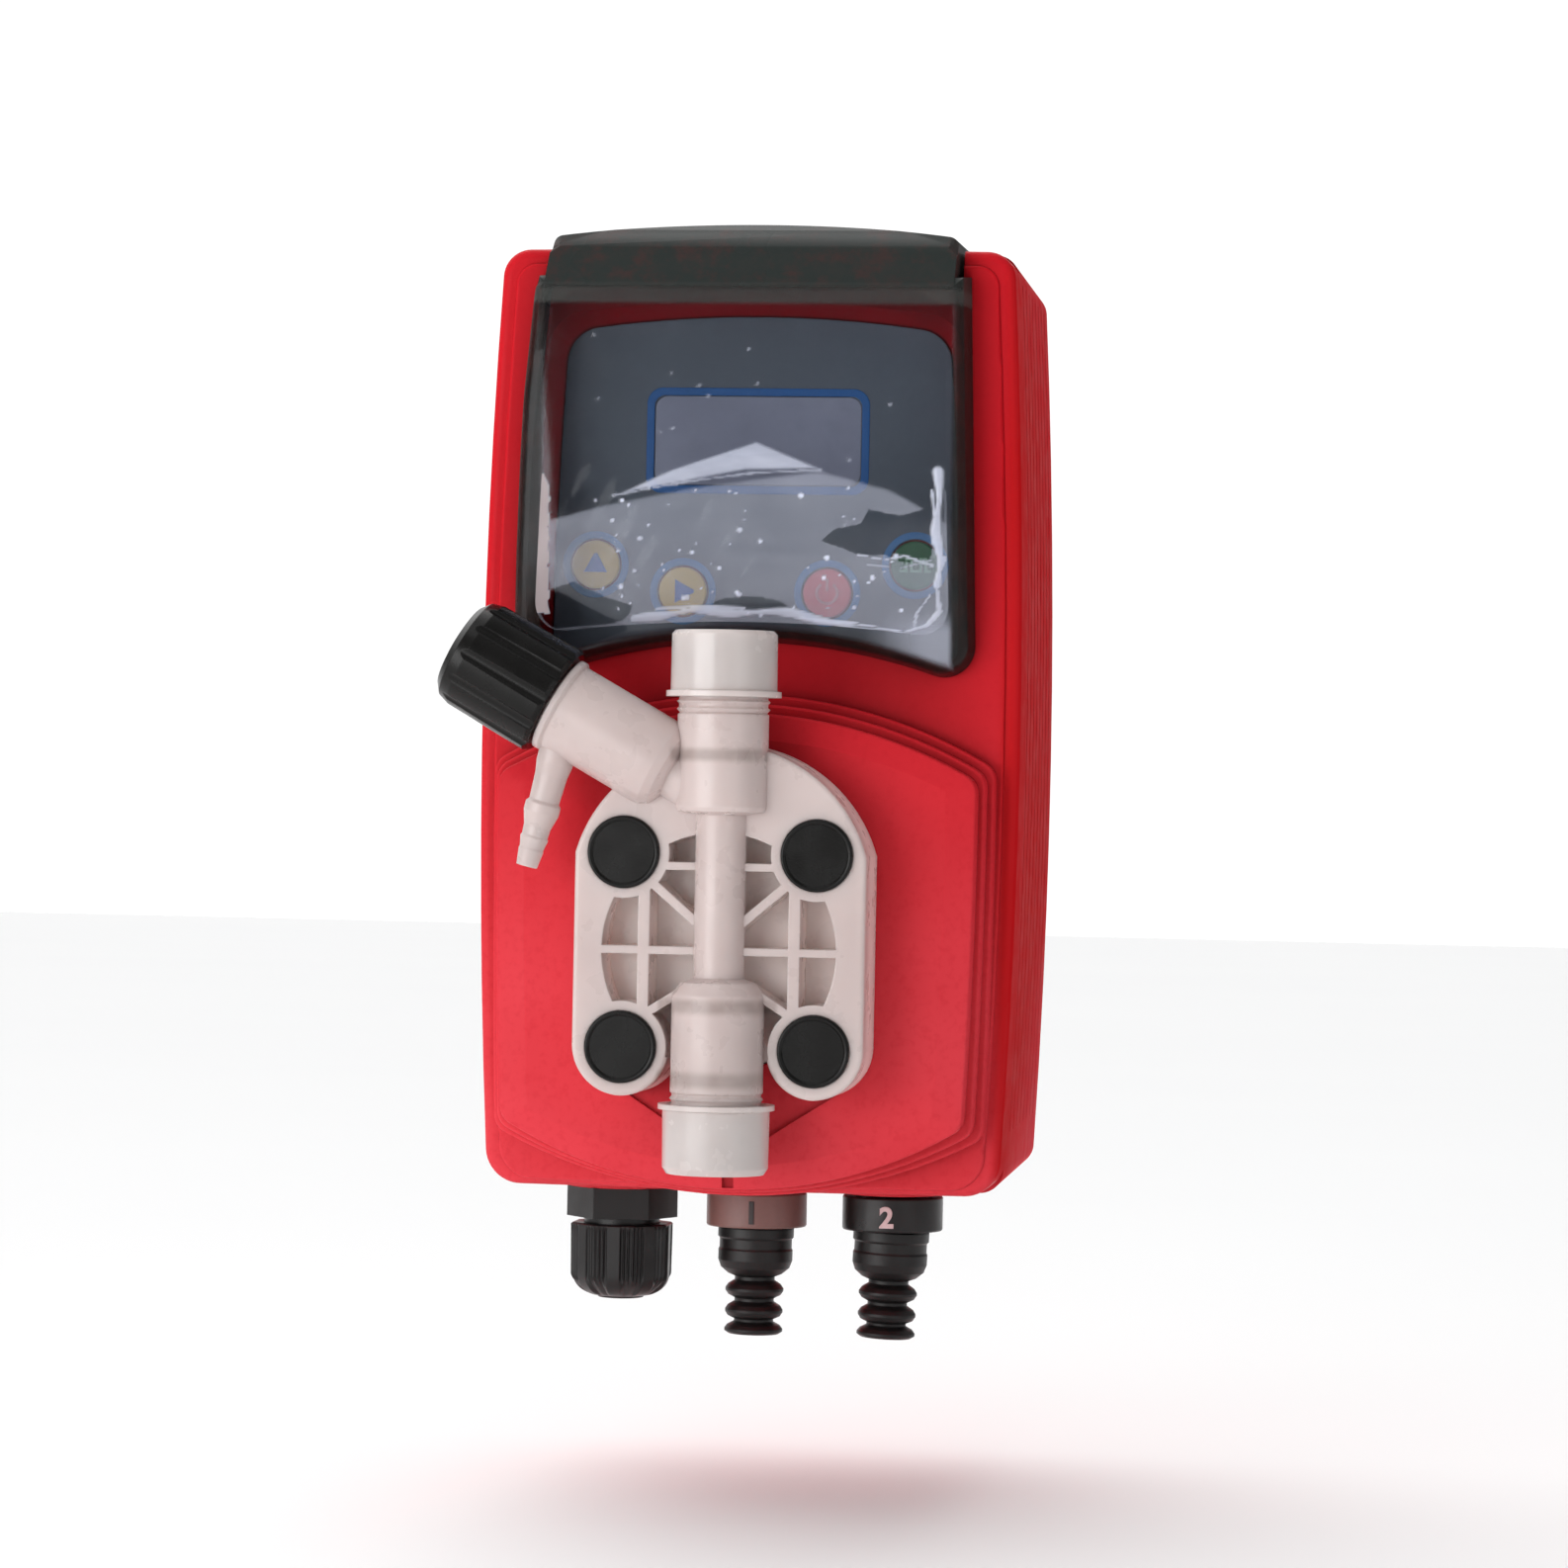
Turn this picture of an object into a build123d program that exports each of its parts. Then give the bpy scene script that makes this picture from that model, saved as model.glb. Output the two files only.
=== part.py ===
from build123d import *
import math
import os

os.makedirs("parts", exist_ok=True)

# ---------------------------------------------------------------------------
# Wall-mounted diaphragm metering pump.
# Frame: +X right, +Z up, the wall face is Y = 0 and the front looks along -Y.
# The origin is the centre of the wall-mount hole pattern on the back face.
# "depth" below always means the distance in front of the wall, so Y = -depth.
# ---------------------------------------------------------------------------

# Case
SPLIT_D = 84.0          # depth of the parting plane between rear and front housing
FACE_D = 96.3           # depth of the front housing's margin face
WALL = 2.6              # general wall thickness
REAR_BACK = 2.8         # thickness of the back wall
BAND = (50.1, 52.8, 49.9, -91.4, 90.7)    # half widths bottom, middle, top; Z bottom, top
CHANNEL_HW = 40.4       # half width of the channel in the case top for the cover's arms
CHANNEL_Z = 85.4        # its floor
CHANNEL_D = 51.0        # depth of its rear end
GROOVE_FIRST, GROOVE_PITCH, GROOVES, GROOVE_W, GROOVE_T = 11.0, 9.0, 8, 1.1, 0.55

# Stepped platform that carries the pump head
STEP_D = (101.0, 105.6, 110.6)            # depth of each step's face
STEP_HW = (48.7, 47.4, 46.2)
STEP_DROP = (1.1, 1.3, 1.6)                # how far the sides pull in towards the bottom
STEP_TOP = (4.6, 2.75, 0.9)
STEP_SHOULDER = (-9.1, -10.3, -11.5)
STEP_LOW = (-80.0, -78.9, -77.6)           # where the sides meet the bottom arch
STEP_BOTTOM = (-92.1, -91.2, -90.3)
PLATEAU_D = 112.0
CREASE_HW = 40.65

# Keypad pocket
POCKET_D = 89.5
PAD_T = 0.8
KEY_R, KEY_HOLE_R, KEY_STEM_R = 4.7, 5.05, 2.0
KEYS = {"key_up": (-31.5, 29.6), "key_right": (-14.2, 24.6),
        "key_red": (14.2, 24.6), "key_green": (31.3, 30.2)}
LCD = (20.3, 45.4, 62.7)                  # window half width, Z bottom, Z top

# Display cover
COVER_D, COVER_BASE_D, COVER_T = 106.0, 96.7, 2.0
HINGE_D, HINGE_Z, HINGE_PIN_R = 60.0, 89.3, 1.3

# Pump head
HEAD_D0, HEAD_D1 = 112.0, 128.0           # plate back and front
HEAD_Z = -44.3                            # centre of the screw square and the diaphragm
HEAD_SQ = 36.7                            # screw spacing, square
HEAD_HW = 27.7
RECESS_R, RECESS_D = 22.3, 119.0
BOSS_R, SCREW_COVER_R = 8.7, 6.85
DIA_R = 22.5
VALVE_D = 127.0                           # depth of the valve column's axis
COL_R = 8.6
BLEED_ANGLE = 29.3                        # branch above the horizontal, to the left
KNOB_R = 10.9

# Underside
UNDER_D = 72.0
GLAND_X, INPUT_X, LEVEL_X = -27.0, 0.0, 27.1
GLAND_AF = 19.0

# Wall mount: threaded brass inserts
INSERT_X, INSERT_Z, INSERT_R, INSERT_BORE_R, INSERT_L = 30.0, 60.0, 3.5, 2.1, 10.0

SCREW_POSTS = [(43.0, -83.0), (-43.0, -83.0), (42.5, 77.0), (-42.5, 77.0)]
HEAD_BOLTS = [(sx * HEAD_SQ / 2, HEAD_Z + sz * HEAD_SQ / 2) for sx in (-1, 1) for sz in (-1, 1)]

VALVE_O = (0, -VALVE_D, 0)
VALVE_AXIS = Axis(VALVE_O, (0, 0, 1))
BX, BZ = -math.cos(math.radians(BLEED_ANGLE)), math.sin(math.radians(BLEED_ANGLE))
BLEED_O = (0, -VALVE_D, -16.0)
BLEED_DIR = (BX, 0, BZ)
BLEED_AXIS = Axis(BLEED_O, BLEED_DIR)
BARB_O = (-30.0, -VALVE_D, -1.2)
BARB_DIR = (-0.247 / math.hypot(0.247, 0.969), 0, -0.969 / math.hypot(0.247, 0.969))
BARB_AXIS = Axis(BARB_O, BARB_DIR)


def front(depth):
    """Plane seen from the front: local x = X, local y = Z, normal towards the viewer."""
    return Plane.XZ.offset(depth)


def lathe(origin, d, points):
    """Half profile (radius, distance along d) for a body turned about the line origin + d."""
    with BuildSketch(Plane(origin=origin, x_dir=(d[2], 0, -d[0]), z_dir=(0, -1, 0))) as s:
        with BuildLine():
            Polyline(*points, close=True)
        make_face()
    return s.sketch


def tube_profile(r_in, r_out, s0, s1):
    return [(r_in, s0), (r_out, s0), (r_out, s1), (r_in, s1)]


def ring_profile(origin, d, r, s, wire):
    """Round section of an O-ring, radius wire, at radius r and distance s."""
    with BuildSketch(Plane(origin=origin, x_dir=(d[2], 0, -d[0]), z_dir=(0, -1, 0))) as k:
        with Locations((r, s)):
            Circle(wire)
    return k.sketch


def bowed(depth, hb, hm, ht, zb, zt, rb, rt, bow=0.3):
    """Closed case outline: bowed sides, nearly straight top and bottom, rounded corners."""
    with BuildSketch(front(depth)) as s:
        with BuildLine():
            ThreePointArc((hb, zb), (hm, (zb + zt) / 2 + 2), (ht, zt))
            if bow:
                ThreePointArc((ht, zt), (0, zt + bow), (-ht, zt))
            else:
                Line((ht, zt), (-ht, zt))
            ThreePointArc((-ht, zt), (-hm, (zb + zt) / 2 + 2), (-hb, zb))
            ThreePointArc((-hb, zb), (0, zb - 0.3), (hb, zb))
        make_face()
        fillet(s.vertices().group_by(Axis.Y)[0], radius=rb)
        fillet(s.vertices().group_by(Axis.Y)[-1], radius=rt)
    return s.sketch


def band_outline(depth, inset=0.0):
    hb, hm, ht, zb, zt = BAND
    return bowed(depth, hb - inset, hm - inset, ht - inset, zb + inset, zt - inset,
                 max(7.0 - inset, 1.0), max(5.5 - inset, 1.0))


def rear_widths(t):
    return 47.7 + 2.1 * t, 50.0 + 2.4 * t, 47.1 + 2.5 * t


def rear_outline(depth, inset=0.0, top=None):
    t = depth / SPLIT_D
    hb, hm, ht = rear_widths(t)
    # the floor is a little thinner than the walls
    zb, zt = (-91.4 if inset < WALL else -91.8), 91.0
    if top is not None:
        return bowed(depth, hb - inset, hm - inset, ht - inset + 0.2, zb + inset, top,
                     max(4.5 - inset, 1.0), 2.0, 0)
    return bowed(depth, hb - inset, hm - inset, ht - inset, zb + inset, zt - inset,
                 max(4.5 - inset, 1.0), max(4.5 - inset, 1.0))


def platform_outline(depth, hw, top, shoulder, drop, low, bottom, r_top=4.0, r_low=4.0):
    """Shield outline: arched top, sides that pull in towards the bowed bottom."""
    mid = (shoulder + low) / 2
    with BuildSketch(front(depth)) as s:
        with BuildLine():
            ThreePointArc((hw, shoulder), (0, top), (-hw, shoulder))
            ThreePointArc((-hw, shoulder), (-hw + drop / 4, mid), (-hw + drop, low))
            ThreePointArc((-hw + drop, low), (0, bottom), (hw - drop, low))
            ThreePointArc((hw - drop, low), (hw - drop / 4, mid), (hw, shoulder))
        make_face()
        fillet(s.vertices().group_by(Axis.Y)[-1], radius=r_top)
        fillet(s.vertices().group_by(Axis.Y)[0], radius=r_low)
    return s.sketch


def step_outline(k, depth, inset=0.0):
    return platform_outline(depth, STEP_HW[k] - inset, STEP_TOP[k] - inset, STEP_SHOULDER[k] - inset,
                            STEP_DROP[k], STEP_LOW[k] + inset, STEP_BOTTOM[k] + inset)


def pocket_outline(depth, grow):
    """Keypad pocket: arched top, bowed sides, a bottom that follows the cover's lower edge."""
    low = min(grow, 0.3)
    with BuildSketch(front(depth)) as s:
        with BuildLine():
            ThreePointArc((37.6 + grow, 75.2 + grow), (0, 78.3 + grow), (-37.6 - grow, 75.2 + grow))
            ThreePointArc((-37.6 - grow, 75.2 + grow), (-39.3 - grow, 40), (-39.9 - grow, 9.6 - low))
            ThreePointArc((-39.9 - grow, 9.6 - low), (0, 17.0 - low), (39.9 + grow, 9.6 - low))
            ThreePointArc((39.9 + grow, 9.6 - low), (39.3 + grow, 40), (37.6 + grow, 75.2 + grow))
        make_face()
        fillet(s.vertices().group_by(Axis.Y)[-1], radius=7.0)
        fillet(s.vertices().group_by(Axis.Y)[0], radius=3.0)
    return s.sketch


def cover_outline(depth, inset):
    """Lower part of the display cover as seen from the front, up to its notch."""
    i = inset
    with BuildSketch(front(depth)) as s:
        with BuildLine():
            Polyline((42.0 - i, 85.5 - i), (-42.0 + i, 85.5 - i))
            ThreePointArc((-42.0 + i, 85.5 - i), (-43.2 + i, 44), (-44.3 + i, 5.7 + i))
            ThreePointArc((-44.3 + i, 5.7 + i), (0, 14.7 + i), (44.3 - i, 5.7 + i))
            ThreePointArc((44.3 - i, 5.7 + i), (43.2 - i, 44), (42.0 - i, 85.5 - i))
        make_face()
        fillet(s.vertices().group_by(Axis.Y)[0], radius=6.0 - i * 0.8)
    return s.sketch


def cover_top_side(i):
    """Side view of the cover's wrapped top (depth, Z), i = inset."""
    return [(COVER_D - i, 70), (COVER_D - i, 82.9 - 0.4 * i), (101.0 - 0.9 * i, 90.8 - 0.8 * i),
            (96.8 - 0.6 * i, 94.4 - 0.9 * i), (93.0 - 0.3 * i, 95.9 - i), (HINGE_D, 96.3 - i)]


def head_outline(depth):
    with BuildSketch(front(depth)) as s:
        with BuildLine():
            ThreePointArc((HEAD_HW, -26.1), (0, -5.2), (-HEAD_HW, -26.1))
            Polyline((-HEAD_HW, -26.1), (-HEAD_HW, -62.6))
            ThreePointArc((-HEAD_HW, -62.6), (-18.4 - 6.5, -62.6 - 6.5), (-18.4, -71.9))
            ThreePointArc((-18.4, -71.9), (-12.2, -69.4), (-9.4, -63.9))
            Polyline((-9.4, -63.9), (-5.0, -58.0), (5.0, -58.0), (9.4, -63.9))
            ThreePointArc((9.4, -63.9), (12.2, -69.4), (18.4, -71.9))
            ThreePointArc((18.4, -71.9), (18.4 + 6.5, -62.6 - 6.5), (HEAD_HW, -62.6))
            Polyline((HEAD_HW, -62.6), (HEAD_HW, -26.1))
        make_face()
    return s.sketch


# ------------------------------------------------------------- rear housing
with BuildPart() as rear_cavity:
    loft([rear_outline(REAR_BACK, WALL).faces()[0], rear_outline(SPLIT_D + 0.01, WALL).faces()[0]])
    # everything in front of the channel's rear wall is capped under the channel floor
    with BuildSketch(front(CHANNEL_D - WALL)):
        with Locations((0, CHANNEL_Z - WALL + 10)):
            Rectangle(110, 20)
    extrude(amount=60, mode=Mode.SUBTRACT)
    # screw posts run from the back wall to the parting plane
    with BuildSketch(front(0)):
        with Locations(*SCREW_POSTS):
            Circle(4.8)
    extrude(amount=SPLIT_D + 1, mode=Mode.SUBTRACT)
    # bosses round the wall inserts
    with BuildSketch(front(0)):
        with GridLocations(2 * INSERT_X, 2 * INSERT_Z, 2, 2):
            Circle(6.0)
    extrude(amount=13.5, mode=Mode.SUBTRACT)

with BuildPart() as rear_housing:
    loft([rear_outline(0).faces()[0], rear_outline(SPLIT_D).faces()[0]])
    fillet(rear_housing.faces().sort_by(Axis.Y)[-1].edges(), radius=1.6)
    # vertical grooves on both sides
    for n in range(GROOVES):
        depth = GROOVE_FIRST + n * GROOVE_PITCH
        t = depth / SPLIT_D
        with BuildSketch(front(depth)) as groove:
            with Locations((52.0, 3.0), (-52.0, 3.0)):
                Rectangle(16, 166)
            with BuildLine():
                hb, hm, ht = (w - GROOVE_T for w in rear_widths(t))
                ThreePointArc((hb, -91.4), (hm, 1.8), (ht, 91.0))
                Line((ht, 91.0), (-ht, 91.0))
                ThreePointArc((-ht, 91.0), (-hm, 1.8), (-hb, -91.4))
                Line((-hb, -91.4), (hb, -91.4))
            make_face(mode=Mode.SUBTRACT)
        extrude(amount=GROOVE_W, mode=Mode.SUBTRACT)
    add(rear_cavity.part, mode=Mode.SUBTRACT)
    # channel for the cover's arms
    with BuildSketch(front(CHANNEL_D)):
        with Locations((0, CHANNEL_Z + 10)):
            Rectangle(2 * CHANNEL_HW, 20)
    extrude(amount=60, mode=Mode.SUBTRACT)
    # gasket groove in the rim
    with BuildSketch(front(SPLIT_D - 1.0)):
        add(rear_outline(SPLIT_D - 1.0, 0.9, top=84.7).faces())
        add(rear_outline(SPLIT_D - 1.0, 2.0, top=83.6).faces(), mode=Mode.SUBTRACT)
    extrude(amount=2.0, mode=Mode.SUBTRACT)
    # holes for the housing screws, counterbored from behind
    with BuildSketch(front(0)):
        with Locations(*SCREW_POSTS):
            Circle(1.95)
    extrude(amount=SPLIT_D + 1, mode=Mode.SUBTRACT)
    with BuildSketch(front(0)):
        with Locations(*SCREW_POSTS):
            Circle(4.0)
    extrude(amount=6.0, mode=Mode.SUBTRACT)
    # pockets for the wall inserts
    with BuildSketch(front(0)):
        with GridLocations(2 * INSERT_X, 2 * INSERT_Z, 2, 2):
            Circle(INSERT_R + 0.02)
    extrude(amount=INSERT_L + 0.02, mode=Mode.SUBTRACT)
    # round seats under the case for gland and sockets
    with BuildSketch(Plane.XY.offset(-91.0)):
        with Locations((GLAND_X, -UNDER_D)):
            Circle(10.6)
        with Locations((INPUT_X, -UNDER_D), (LEVEL_X, -UNDER_D)):
            Circle(9.9)
    extrude(amount=-1.9)
    with BuildSketch(Plane.XY.offset(-80.0)):
        with Locations((GLAND_X, -UNDER_D)):
            Circle(8.0)
        with Locations((INPUT_X, -UNDER_D), (LEVEL_X, -UNDER_D)):
            Circle(6.0)
    extrude(amount=-20, mode=Mode.SUBTRACT)
    # pin holes in the channel's side walls
    with BuildSketch(Plane.YZ.offset(-46.0)):
        with Locations((-HINGE_D, HINGE_Z)):
            Circle(HINGE_PIN_R)
    extrude(amount=92.0, mode=Mode.SUBTRACT)

# ------------------------------------------------------------- front housing
with BuildPart() as band:
    extrude(band_outline(SPLIT_D), amount=FACE_D - 0.7 - SPLIT_D)
    fillet(band.faces().sort_by(Axis.Y)[0].edges(), radius=1.9)
    # the face stands slightly proud of its rounded margin, down to the bottom edge
    with BuildPart() as face:
        hb, hm, ht, zb, zt = BAND
        extrude(bowed(SPLIT_D + 4, hb - 2.9, hm - 2.9, ht - 2.9, zb + 1.1, zt - 2.9, 7.0, 4.2),
                amount=FACE_D - SPLIT_D - 4)
        fillet(face.faces().sort_by(Axis.Y)[0].edges(), radius=0.6)
    add(face.part)

with BuildPart() as platform:
    for k in range(2):
        with BuildPart() as step:
            extrude(step_outline(k, FACE_D - 1.5), amount=STEP_D[k] - FACE_D + 1.5)
            fillet(step.faces().sort_by(Axis.Y)[0].edges(), radius=0.6)
        add(step.part)
    # the last step carries the plateau, with a shallow slope round it
    with BuildPart() as last:
        extrude(step_outline(2, FACE_D - 1.5), amount=STEP_D[2] - FACE_D + 1.5)
        loft([step_outline(2, STEP_D[2]).faces()[0],
              platform_outline(PLATEAU_D, CREASE_HW, -4.2, -13.3, 1.6, -75.6, -85.6, 1.5, 1.5).faces()[0]])
        fillet(last.edges().filter_by_position(Axis.Y, -STEP_D[2] - 0.001, -STEP_D[2] + 0.001), radius=0.6)
    add(last.part)

with BuildPart() as front_housing:
    add(band.part)
    # three steps and the plateau
    add(platform.part)
    # lowered rim inside the case edge, hollow behind the margin face
    with BuildPart(mode=Mode.PRIVATE) as hollow:
        with BuildSketch(front(SPLIT_D - 0.01)):
            add(rear_outline(SPLIT_D - 0.01, WALL, top=CHANNEL_Z - WALL).faces())
        extrude(amount=3.4)
        with BuildSketch(front(SPLIT_D)):
            with BuildLine():
                ThreePointArc((40.8, -12.5), (0, -1.2), (-40.8, -12.5))
                Polyline((-40.8, -12.5), (-40.8, -70.0), (-28, -79.5), (28, -79.5), (40.8, -70.0), (40.8, -12.5))
            make_face()
        extrude(amount=22.5)
        # screw bosses stay solid
        with BuildSketch(front(SPLIT_D - 1)):
            with Locations(*SCREW_POSTS):
                Circle(4.8)
        extrude(amount=12, mode=Mode.SUBTRACT)
        with BuildSketch(front(92.0)):
            with Locations(*HEAD_BOLTS):
                Circle(5.5)
        extrude(amount=20, mode=Mode.SUBTRACT)
    add(hollow.part, mode=Mode.SUBTRACT)
    # screw holes from behind
    with BuildSketch(front(SPLIT_D - 1)):
        with Locations(*SCREW_POSTS):
            Circle(1.95)
    extrude(amount=9.5, mode=Mode.SUBTRACT)
    # keypad pocket with sloped walls
    loft([pocket_outline(POCKET_D, 0.0).faces()[0], pocket_outline(FACE_D + 0.01, 2.4).faces()[0]], mode=Mode.SUBTRACT)
    # display opening and key stem holes in the pocket floor
    with BuildSketch(front(SPLIT_D)):
        with Locations((0, (LCD[1] + LCD[2]) / 2)):
            Rectangle(2 * LCD[0] + 0.4, LCD[2] - LCD[1] + 0.4)
        with Locations(*KEYS.values()):
            Circle(KEY_STEM_R + 0.4)
    extrude(amount=8, mode=Mode.SUBTRACT)
    # channel for the cover's arms
    with BuildSketch(front(SPLIT_D - 1)):
        with Locations((0, CHANNEL_Z + 10)):
            Rectangle(2 * CHANNEL_HW, 20)
    extrude(amount=20, mode=Mode.SUBTRACT)
    # seat for diaphragm and backplate, opening for the drive, screw clearance holes
    with BuildSketch(front(106.5)):
        with Locations((0, HEAD_Z)):
            Circle(DIA_R + 0.3)
    extrude(amount=8, mode=Mode.SUBTRACT)
    with BuildSketch(front(SPLIT_D)):
        with Locations((0, HEAD_Z)):
            Circle(17.5)
    extrude(amount=30, mode=Mode.SUBTRACT)
    with BuildSketch(front(90)):
        with Locations(*HEAD_BOLTS):
            Circle(2.75)
    extrude(amount=30, mode=Mode.SUBTRACT)
    # shallow drain apron under the head, and the small notch at the bottom edge
    with BuildSketch(front(PLATEAU_D - 1.2)):
        with BuildLine():
            Polyline((-22, -60), (22, -60), (22, -70.8), (0, -85.0), (-22, -70.8), close=True)
        make_face()
        with Locations((0, HEAD_Z)):
            Circle(DIA_R + 0.3, mode=Mode.SUBTRACT)
        with Locations(*HEAD_BOLTS):
            Circle(4.6, mode=Mode.SUBTRACT)
    extrude(amount=5, mode=Mode.SUBTRACT)
    with BuildSketch(front(STEP_D[2] - 0.9)):
        with Locations((0, -88.6)):
            Rectangle(2.2, 2.6)
    extrude(amount=5, mode=Mode.SUBTRACT)

with BuildPart() as housing_gasket:
    with BuildSketch(front(SPLIT_D - 1.0)):
        add(rear_outline(SPLIT_D - 1.0, 0.95, top=84.65).faces())
        add(rear_outline(SPLIT_D - 1.0, 1.95, top=83.65).faces(), mode=Mode.SUBTRACT)
    extrude(amount=1.0)

with BuildPart() as housing_screws:
    for x, z in SCREW_POSTS:
        o = (x, 0, z)
        with BuildSketch(front(2.2)):
            with Locations((x, z)):
                Circle(3.7)
                RegularPolygon(1.8, 6, mode=Mode.SUBTRACT)
        extrude(amount=2.0)
        with BuildSketch(front(4.2)):
            with Locations((x, z)):
                Circle(3.7)
        extrude(amount=1.8)
        with BuildSketch(front(6.0)):
            with Locations((x, z)):
                Circle(1.85)
        extrude(amount=84.0)

with BuildPart() as wall_inserts:
    with BuildSketch(front(0)):
        with GridLocations(2 * INSERT_X, 2 * INSERT_Z, 2, 2):
            Circle(INSERT_R)
            Circle(INSERT_BORE_R, mode=Mode.SUBTRACT)
    extrude(amount=INSERT_L)

# ------------------------------------------------------------- display cover
with BuildPart() as cover_front:
    loft([cover_outline(COVER_BASE_D, 0.0).faces()[0], cover_outline(COVER_D, 1.0).faces()[0]])
    fillet(cover_front.faces().sort_by(Axis.Y)[0].edges(), radius=3.0)
with BuildPart() as cover_front_in:
    loft([cover_outline(COVER_BASE_D - 0.01, COVER_T).faces()[0],
          cover_outline(COVER_D - COVER_T, 0.9 + COVER_T).faces()[0]])
    fillet(cover_front_in.faces().sort_by(Axis.Y)[0].edges(), radius=1.4)


def cover_top(i):
    """Solid of the cover's wrapped top, inset by i."""
    with BuildPart() as t:
        with BuildSketch(Plane.YZ.offset(-39.6 + i)):
            with BuildLine():
                pts = [(-d, z) for d, z in cover_top_side(i)]
                low = 86.0 if i == 0 else 60.0
                rear = HINGE_D if i == 0 else HINGE_D - 5
                pts[-1] = (-rear, pts[-1][1])
                if i == 0:
                    pts = [(-98.0, 70.0)] + pts + [(-HINGE_D, low), (-98.0, low)]
                else:
                    pts = [(-80.0, 60.0)] + [(pts[0][0], 60.0)] + pts[1:] + [(-rear, low)]
                Polyline(*pts, close=True)
            make_face()
        extrude(amount=2 * (39.6 - i))
        # crown across the width
        with BuildSketch(front(40)):
            with BuildLine():
                Polyline((-39.6 + i, 92.9 - i), (-39.6 + i, 50), (39.6 - i, 50), (39.6 - i, 92.9 - i))
                ThreePointArc((39.6 - i, 92.9 - i), (0, 95.8 - i), (-39.6 + i, 92.9 - i))
            make_face()
        extrude(amount=80, mode=Mode.INTERSECT)
    return t.part


with BuildPart() as display_cover:
    add(cover_front.part)
    add(cover_top(0))
    # hinge ears: rounded rear ends of the two arms
    with BuildSketch(Plane.YZ.offset(-39.6)):
        with Locations((-HINGE_D, HINGE_Z)):
            Circle(3.2)
    extrude(amount=79.2)
    add(cover_front_in.part, mode=Mode.SUBTRACT)
    add(cover_top(COVER_T), mode=Mode.SUBTRACT)
    with BuildSketch(Plane.YZ.offset(-39.6 + COVER_T)):
        with Locations((-HINGE_D - 3, HINGE_Z - 10)):
            Rectangle(30, 24)
    extrude(amount=2 * (39.6 - COVER_T), mode=Mode.SUBTRACT)
    with BuildSketch(Plane.YZ.offset(-45)):
        with Locations((-HINGE_D, HINGE_Z)):
            Circle(HINGE_PIN_R + 0.06)
    extrude(amount=90, mode=Mode.SUBTRACT)

with BuildPart() as cover_hinge_pins:
    for side in (-1, 1):
        with BuildSketch(Plane.YZ.offset(side * 36.6 if side > 0 else -45.0)):
            with Locations((-HINGE_D, HINGE_Z)):
                Circle(HINGE_PIN_R)
        extrude(amount=8.4)

# ------------------------------------------------------------- keypad
with BuildPart() as keypad_membrane:
    with BuildSketch(front(POCKET_D)):
        add(pocket_outline(POCKET_D, -0.15).faces())
        with Locations((0, (LCD[1] + LCD[2]) / 2)):
            RectangleRounded(2 * LCD[0], LCD[2] - LCD[1], 2.5, mode=Mode.SUBTRACT)
        with Locations(*KEYS.values()):
            Circle(KEY_HOLE_R, mode=Mode.SUBTRACT)
    extrude(amount=PAD_T)

for key_name, (kx, kz) in KEYS.items():
    with BuildPart() as key:
        with BuildSketch(front(POCKET_D + 0.5)):
            with Locations((kx, kz)):
                Circle(KEY_R)
        extrude(amount=0.75)
        fillet(key.faces().sort_by(Axis.Y)[0].edges(), radius=0.3)
        with BuildSketch(front(84.2)):
            with Locations((kx, kz)):
                Circle(KEY_STEM_R)
        extrude(amount=POCKET_D + 0.5 - 84.2)
    key.part.label = key_name
    export_step(key.part, f"parts/{key_name}.step")

with BuildPart() as lcd_window:
    with BuildSketch(front(POCKET_D)):
        with Locations((0, (LCD[1] + LCD[2]) / 2)):
            RectangleRounded(2 * LCD[0] - 0.1, LCD[2] - LCD[1] - 0.1, 2.45)
    extrude(amount=PAD_T - 0.15)

with BuildPart() as lcd_module:
    with BuildSketch(front(83.0)):
        with Locations((0, (LCD[1] + LCD[2]) / 2)):
            Rectangle(44.0, 26.0)
    extrude(amount=4.2)
    with BuildSketch(front(87.2)):
        with Locations((0, (LCD[1] + LCD[2]) / 2)):
            Rectangle(40.0, 16.9)
    extrude(amount=2.2)

with BuildPart() as control_pcb:
    with BuildSketch(front(80.0)):
        with Locations((0, 47.5)):
            Rectangle(74.0, 62.0)
    extrude(amount=1.6)
    # controller chip and connector header on the rear of the board
    with BuildSketch(front(77.6)):
        with Locations((-8, 54)):
            Rectangle(14, 14)
        with Locations((20, 30)):
            Rectangle(22, 6)
    extrude(amount=2.4)

with BuildPart() as key_switches:
    with BuildSketch(front(81.6)):
        with Locations(*KEYS.values()):
            Rectangle(6.0, 6.0)
    extrude(amount=1.6)
    with BuildSketch(front(83.2)):
        with Locations(*KEYS.values()):
            Circle(1.6)
    extrude(amount=0.5)

with BuildPart() as power_pcb:
    with BuildSketch(front(14.0)):
        with Locations((0, -6)):
            Rectangle(78.0, 132.0)
        with Locations(*SCREW_POSTS[:2]):
            Circle(5.6, mode=Mode.SUBTRACT)
    extrude(amount=1.6)
    with BuildSketch(front(15.6)):
        with Locations((-20, 35)):
            Rectangle(30, 26)
    extrude(amount=22.0)
    with BuildSketch(front(15.6)):
        with Locations((16, 40), (31, 40)):
            Circle(6.3)
    extrude(amount=20.0)
    with BuildSketch(front(15.6)):
        with Locations((15, 15)):
            Rectangle(34, 12)
    extrude(amount=10.0)

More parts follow.
